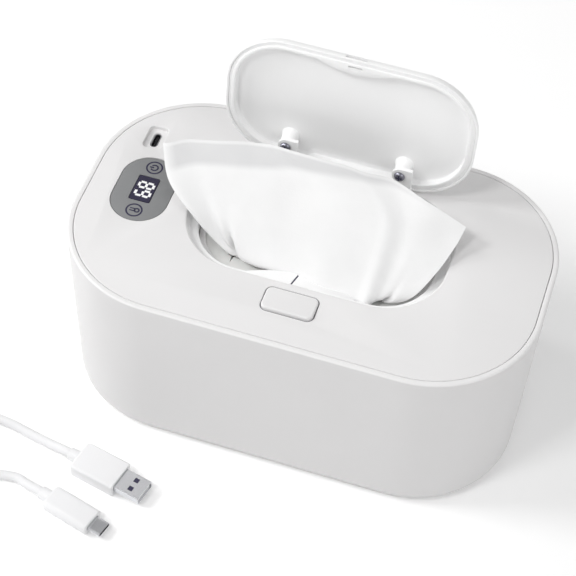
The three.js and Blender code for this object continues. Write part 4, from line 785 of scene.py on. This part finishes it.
SCREW_TOP = ARM_LOW - FIT
SCREW_SHANK = 1.2
CROSS_LONG, CROSS_THIN = 1.5, 0.35
SCREW_PROFILE = [
    (0.1, SCREW_TOP - 1.6), (0.8, SCREW_TOP - 1.58), (1.5, SCREW_TOP - 1.45), (2.1, SCREW_TOP - 1.1),
    (2.5, SCREW_TOP - 0.5), (2.6, SCREW_TOP - 0.2), (2.6, SCREW_TOP), (SCREW_SHANK, SCREW_TOP),
    (SCREW_SHANK, BOSS_LOW + 4.5),
]
for side, x in zip(("left", "right"), ARM_X):
    screw = round_rod(f"bright_screw_{side}", x, BOSS_Y, SCREW_PROFILE, smooth=50)
    bars = [(x - a, x + a, BOSS_Y - b, BOSS_Y + b)
            for a, b in ((CROSS_LONG, CROSS_THIN), (CROSS_THIN, CROSS_LONG))]
    tools = [block("cross", *bar, SCREW_TOP - 2, SCREW_TOP - 0.9) for bar in bars]
    finish_piece(open_lid(cut(screw, *tools, smooth=50)), "steel", "lid", f"lid_screw_{side}", made=CHROME)
    # Dark blocks in the bottom of each screw's cross, as painted shade
    recess = join(*[block(f"screw_cross_shade_{side}", *bar, SCREW_TOP - 1.5, SCREW_TOP - 1.2) for bar in bars])
    finish_piece(open_lid(recess), "steel", "lid", made=INK_AND_SHADE)

# Wipe

SHEET_THICK = 0.4
COLUMNS = 150
ROWS = 120
WIPE_SLIT = 2 / 7
TAIL_DROP, END_DROP = -24, -66

# Folds that start at the stars of the slit: place across, lean as they rise, depth in millimetres
STAR_FOLDS = ((0.105, 0.11, 7.5), (0.93, -0.1, 4))

# Rows of the cloth from the slit up to its top edge, each from left to right
WIPE_ROWS = [
    [(-33.5, -12.2, 83.5), (2, -12, 83.5), (38.5, -12.2, 83.5)],
    [(-36, -13, 86), (-24, -16.4, 86.5), (2, -16.8, 87.5), (28, -21, 86.5), (43, -17, 86)],
    [(-45, -10.5, 91), (-27, -16.8, 91.4), (2, -19.8, 93), (30, -23, 91.2), (52, -14.5, 90.5)],
    [(-57, -6.4, 100.5), (-31, -6, 102), (2, -7, 103), (34, -6, 101), (60, -3, 98.5)],
    [(-71, 1, 109), (-35, 11, 113), (3, 13, 114), (36, 12, 110), (64.5, 10, 103.5)],
    [(-80, 17, 115), (-65, 21, 118), (-50, 24, 121), (-36, 25, 121.6), (-23, 25, 123.5), (4, 26, 123.4),
     (27, 26, 118.5), (48, 23, 114.5), (67, 19, 109)],
]


def along(points, share):
    """A point on a smooth curve through points, at a share of its spans."""
    points = [Vector(p) for p in points]
    place = min(max(share, 0), 1) * (len(points) - 1)
    i = min(int(place), len(points) - 2)
    t = place - i
    a = points[max(i - 1, 0)] if i > 0 else points[0] * 2 - points[1]
    b, c = points[i], points[i + 1]
    d = points[i + 2] if i + 2 < len(points) else points[-1] * 2 - points[-2]
    square = (2 * a - 5 * b + 4 * c - d) * t * t
    cube = (3 * b - a - 3 * c + d) * t ** 3
    return 0.5 * (2 * b + (c - a) * t + square + cube)


def bell(offset, width):
    return math.exp(-(offset / width) ** 2)


def wipe_point(across, up):
    """A point of the cloth: across from its left edge to its right, up from its tail to its top."""
    slit, *above = (along(row, across) for row in WIPE_ROWS)
    tail = slit + Vector(((slit.x - MOUTH_X) * -0.2, 4 * math.sin(across * 9), TAIL_DROP))
    end = slit + Vector(((slit.x - MOUTH_X) * 0.3, 7 * math.sin(across * 9 + 0.6), END_DROP))
    point = along([end, tail, slit, *above], up)
    over = max(up - WIPE_SLIT, 0) / (1 - WIPE_SLIT)
    under = max(WIPE_SLIT - up, 0) / WIPE_SLIT
    middle = math.sin(across * math.pi)
    fold = 1.3 * over * middle * math.sin(across * 17 + 0.7)
    fold += 0.5 * over * (1 - over * 0.9) * math.sin(across * 37 + 2.0 + up * 2)
    fold += 4.5 * under * math.sin(across * 30) * min(1, under * 3)
    crease = noise.noise(Vector((across * 6, up * 5, 3.1))) * 2.2 * over
    crease += noise.noise(Vector((across * 13 + up * 4, up * 8, 7.4))) * 1.1 * over * (1.2 - over)
    point.y += (fold + crease) * min(1, abs(up - WIPE_SLIT) * 6)
    line = 0.87 - 0.15 * over
    ridge = bell(across - line + 0.035, 0.03) - 0.8 * bell(across - line - 0.03, 0.035)
    point.y -= 3.0 * ridge * min(1, over * 5) * (1 - over * 0.75)
    for place, lean, deep in STAR_FOLDS:
        point.y += deep * (bell(across - place - lean * over, 0.024) * bell(over - 0.26, 0.2))
    belly = bell(over - 0.3, 0.09) - 0.8 * bell(over - 0.15, 0.06)
    point.y -= 1.3 * belly * bell(across - 0.42, 0.2)
    hem = bell(across - 0.015, 0.025) - 0.9 * bell(across - 0.085, 0.035)
    point.y -= 2.8 * hem * min(over * 1.6, 1) * (1.25 - over)
    return point


def wipe_sheet():
    centre = [[wipe_point(i / COLUMNS, j / ROWS) for i in range(COLUMNS + 1)] for j in range(ROWS + 1)]
    points, faces = [], []
    for side in (-1, 1):
        for j, row in enumerate(centre):
            for i, p in enumerate(row):
                du = centre[j][min(i + 1, COLUMNS)] - centre[j][max(i - 1, 0)]
                dv = centre[min(j + 1, ROWS)][i] - centre[max(j - 1, 0)][i]
                points.append(p + du.cross(dv).normalized() * side * SHEET_THICK / 2)
    count = (ROWS + 1) * (COLUMNS + 1)
    for j in range(ROWS):
        for i in range(COLUMNS):
            a = j * (COLUMNS + 1) + i
            quad = (a, a + 1, a + COLUMNS + 2, a + COLUMNS + 1)
            faces.append(quad)
            faces.append(tuple(count + q for q in reversed(quad)))
    edge = [j * (COLUMNS + 1) for j in range(ROWS + 1)]
    edge += [ROWS * (COLUMNS + 1) + i for i in range(1, COLUMNS + 1)]
    edge += [j * (COLUMNS + 1) + COLUMNS for j in range(ROWS - 1, -1, -1)]
    edge += list(range(COLUMNS - 1, 0, -1))
    for n, a in enumerate(edge):
        b = edge[(n + 1) % len(edge)]
        faces.append((a, b, count + b, count + a))
    cloth = new_object("wipe_cloth", [tuple(p) for p in points], faces, smooth=70)
    paint_band_shade(cloth)
    return cloth


def paint_band_shade(cloth):
    """Marks the single layer along the top of the cloth, which is darkened as painted shade where light passes
    through it.
    """
    band = cloth.data.attributes.new(BAND, "FLOAT", "POINT")
    tree = KDTree((ROWS + 1) * (COLUMNS + 1))
    for j in range(ROWS + 1):
        for i in range(COLUMNS + 1):
            tree.insert(wipe_point(i / COLUMNS, j / ROWS) * MM, j * (COLUMNS + 1) + i)
    tree.balance()
    for vertex in cloth.data.vertices:
        j, i = divmod(tree.find(vertex.co)[1], COLUMNS + 1)
        across, over = i / COLUMNS, max(j / ROWS - WIPE_SLIT, 0) / (1 - WIPE_SLIT)
        edge = 0.845 + 0.13 * min(max(across - 0.35, 0) / 0.5, 1) + 0.004 * math.sin(across * 21)
        inside = min(max((over - edge) / 0.035, 0), 1) * min(across / 0.04, 1) * min((1 - across) / 0.12, 1)
        band.data[vertex.index].value = inside * (1 if over < 0.985 else 0.35)


# The cloth's columns are 132 to 151 mm long. The flat length stated here is shorter than its true cut
wipe = finish_piece(wipe_sheet(), "cloth", "cover", "wipe")
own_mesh(wipe)

# Plugs

PLUG_A = {"x": -60.5, "y": -98.8, "yaw": math.radians(-12.7),
          "long": 24.0, "wide": 16.6, "high": 8.2, "round": 1.3}
PLUG_C = {"x": -64.6, "y": -124.9, "yaw": math.radians(-15.4),
          "long": 25.0, "wide": 13.0, "high": 6.8, "round": 2.6}
COLLAR = 5.0
SHELL_GAP = 0.3


def section(width, height, radius, x, scale_y, scale_z):
    return [(x, py * scale_y, pz * scale_z) for py, pz in rounded(width, height, radius, steps=10)(0)]


def place_plug(obj, plug):
    obj.data.transform(Matrix.Translation(Vector((plug["x"], plug["y"], plug["high"] / 2)) * MM)
                       @ Matrix.Rotation(plug["yaw"], 4, "Z"))
    return obj


def plug_mould(name, plug, shell_width, shell_height, shell_radius, sink):
    """A mould from its back to its face at x 0, in stations of (x, share of width, share of height)."""
    back = -plug["long"]
    stations = [(back, 0.84, 0.8), (back + 0.2, 0.9, 0.88), (back + 0.7, 0.96, 0.95), (back + 1.5, 1, 1),
                (-0.5, 1, 1), (-0.2, 0.99, 0.985), (0, 0.96, 0.94)]
    body = skin(name, [section(plug["wide"], plug["high"], plug["round"], *s) for s in stations])
    collar = skin("collar", [section(2, 2, 1, *s) for s in (
        (back - COLLAR, 2.9, 2.9), (back - COLLAR + 0.25, 3.1, 3.1), (back + 1, 3.4, 3.06))])
    opening = (shell_width + 2 * SHELL_GAP, shell_height + 2 * SHELL_GAP, shell_radius + SHELL_GAP)
    pocket = skin("pocket", [section(*opening, x, 1, 1) for x in (-sink - SHELL_GAP, 1)])
    join(body, collar)
    cut(body, pocket)
    return place_plug(body, plug)


finish_piece(plug_mould("plug_a_mould", PLUG_A, 12, 4.5, 0.6, 2), "cable", "tub", "usb_a_mould")
finish_piece(plug_mould("plug_c_mould", PLUG_C, 8.3, 2.5, 1.25, 1.5), "cable", "tub", "usb_c_mould")

# Cord: out of the USB-C plug, round the coil and back to the USB-A plug

CORD = 4.6
LEVEL = CORD / 2 + 0.1
COIL = Vector((-163, -101, 0))
COIL_INNER, COIL_PITCH, COIL_TURNS, COIL_LAYER, COIL_DIP = 14.6, 5.3, 3, 5.2, 2.6
COIL_OUTER = COIL_INNER + COIL_PITCH * COIL_TURNS


def coil_point(turn):
    climb = min(max((turn - COIL_TURNS) * 2, 0), 1)
    wind = COIL_TURNS - turn if turn < COIL_TURNS else max(turn - COIL_TURNS - 0.5, 0)
    radius = COIL_INNER + COIL_PITCH * wind - COIL_DIP * math.sin(climb * math.pi)
    angle = math.pi / 2 + turn * 2 * math.pi
    level = LEVEL + COIL_LAYER * (1 - math.cos(climb * math.pi)) / 2
    return Vector((COIL.x + radius * math.cos(angle), COIL.y + radius * math.sin(angle), level))


def collar_end(plug):
    back = plug["long"] + COLLAR + FIT
    yaw = plug["yaw"]
    return (plug["x"] - back * math.cos(yaw), plug["y"] - back * math.sin(yaw), plug["high"] / 2)


leave = COIL.x + CORD + FIT
coil_back, coil_front = COIL.y + COIL_OUTER, COIL.y - COIL_OUTER
upper_level = LEVEL + COIL_LAYER
route_a = [collar_end(PLUG_A), (-91.5, -91.8, 4), (-101.3, -89.6, 2.9), (-111, -87.4, 2.4),
           (-120.8, -85.2, 2.4), (-136, -82.5, 2.4), (-146, -75.4, 2.4),
           (leave + 4, coil_back, LEVEL), (leave, coil_back, LEVEL)]
route_c = [collar_end(PLUG_C), (-95.7, -116.3, 3.4), (-102.5, -114.5, 2.7), (-109.2, -112.6, 2.4),
           (-122, -115.5, 2.8), (-132, -121, 4.4), (-143, -127.8, 6.7),
           (leave + 4, coil_front, upper_level), (leave, coil_front, upper_level)]
STEPS_A, STEPS_COIL, STEPS_C = 70, 400, 60
TUBE_SIDES = 20


def cord_points():
    stretch_c = [along(route_c, i / STEPS_C) for i in range(STEPS_C + 1)]
    turns = 2 * COIL_TURNS + 0.5
    coil = [coil_point(turns * (1 - i / STEPS_COIL)) for i in range(STEPS_COIL + 1)]
    stretch_a = [along(route_a, 1 - i / STEPS_A) for i in range(STEPS_A + 1)]
    return stretch_c + coil + stretch_a


def tube(name, points, radius):
    turns = [2 * math.pi * j / TUBE_SIDES for j in range(TUBE_SIDES)]
    rings = []
    normal = Vector((0, 0, 1))
    for i, point in enumerate(points):
        ahead = (points[min(i + 1, len(points) - 1)] - points[max(i - 1, 0)]).normalized()
        normal = (normal - ahead * normal.dot(ahead)).normalized()
        side = ahead.cross(normal)
        rings.append([tuple(point + (normal * math.cos(a) + side * math.sin(a)) * radius) for a in turns])
    return skin(name, rings, smooth=50)


line = cord_points()
cord_length = sum((line[i + 1] - line[i]).length for i in range(len(line) - 1)) * MM
print(f"cord length {cord_length:.3f} m")

# Dark plates under the two windows of the USB-A shell, as painted shade in the windows
WINDOW_SHADE_X, WINDOW_SHADE_Y, WINDOW_SHADE_SIZE = 7.4, 2.6, 2.8
window_shade_half = WINDOW_SHADE_SIZE / 2
window_shades = join(*[block("plug_window_shades", WINDOW_SHADE_X - window_shade_half, WINDOW_SHADE_X + window_shade_half,
                       y - window_shade_half, y + window_shade_half, 1.6, 1.9) for y in (-WINDOW_SHADE_Y, WINDOW_SHADE_Y)])
finish_piece(place_plug(window_shades, PLUG_A), "steel", "tub", made=INK_AND_SHADE)
cord = finish_piece(tube("power_cord", line, CORD / 2), "cable", "tub",
                    "cable_to_usb_a", "cable_coil", "cable_to_usb_c")
plug_pieces = [bpy.data.objects["plug_a_mould"], bpy.data.objects["plug_c_mould"], window_shades]
plug_pieces += [frame["nodes"][n] for n in ("usb_a_shell", "usb_a_tongue", "usb_c_shell", "usb_c_core")]

# Floor, lights and sky

FLOOR_COLOUR = (250, 250, 250)
FLOOR_GLOW = 0.13
FLOOR_HALF = 3000
SKY_LIGHT, SKY_SEEN = 0.4, 1.0
LAMP_TARGET = (0, 0, 0.05)

# Name, place in metres, size in metres and power in watts
LAMPS = [
    ("key", (-1.5, -0.4, 1.45), 0.5, 12),
    ("back", (-1.6, 0.4, 1.35), 0.4, 5),
    ("side", (-2.0, -0.3, 0.6), 0.8, 7),
    ("front", (-0.7, -1.0, 1.9), 0.4, 10),
    ("fill", (1.5, -0.7, 1.2), 1.2, 9),
]


def show_white(made, strength):
    """Lifts the floor to white where it is seen, and adds no light to the object."""
    nodes, links = made.node_tree.nodes, made.node_tree.links
    path = nodes.new("ShaderNodeLightPath")
    total = path.outputs["Is Camera Ray"]
    for other in ("Is Glossy Ray", "Is Transmission Ray"):
        add = nodes.new("ShaderNodeMath")
        links.new(total, add.inputs[0])
        links.new(path.outputs[other], add.inputs[1])
        total = add.outputs[0]
    scale = nodes.new("ShaderNodeMath")
    scale.operation = "MULTIPLY"
    scale.inputs[1].default_value = strength
    links.new(total, scale.inputs[0])
    shader = nodes["Principled BSDF"]
    shader.inputs["Emission Color"].default_value = (1, 1, 1, 1)
    links.new(scale.outputs[0], shader.inputs["Emission Strength"])


floor_points = [(x * FLOOR_HALF, y * FLOOR_HALF, 0) for x, y in ((-1, -1), (1, -1), (1, 1), (-1, 1))]
floor = new_object("floor", floor_points, [(0, 1, 2, 3)])
floor_white = material("floor_white", FLOOR_COLOUR, 0.9, mottle=0.002, bump=0.0, specular=0.0)
show_white(floor_white, FLOOR_GLOW)
dress(floor, floor_white)


def sky():
    world = bpy.data.worlds.new("sky")
    bpy.context.scene.world = world
    world.use_nodes = True
    nodes, links = world.node_tree.nodes, world.node_tree.links
    light = nodes["Background"]
    light.inputs["Color"].default_value = (1, 1, 1, 1)
    light.inputs["Strength"].default_value = SKY_LIGHT
    seen = nodes.new("ShaderNodeBackground")
    seen.inputs["Color"].default_value = (1, 1, 1, 1)
    seen.inputs["Strength"].default_value = SKY_SEEN
    path = nodes.new("ShaderNodeLightPath")
    mix = nodes.new("ShaderNodeMixShader")
    links.new(path.outputs["Is Camera Ray"], mix.inputs[0])
    links.new(light.outputs[0], mix.inputs[1])
    links.new(seen.outputs[0], mix.inputs[2])
    links.new(mix.outputs[0], nodes["World Output"].inputs["Surface"])


def lamp(name, place, size, power):
    data = bpy.data.lights.new(name, "AREA")
    data.energy = power
    data.size = size
    obj = bpy.data.objects.new(name, data)
    bpy.context.scene.collection.objects.link(obj)
    obj.location = place
    obj.rotation_euler = (Vector(LAMP_TARGET) - Vector(place)).to_track_quat("-Z", "Y").to_euler()


sky()
for row in LAMPS:
    lamp(*row)
bpy.context.scene.view_settings.view_transform = "Standard"
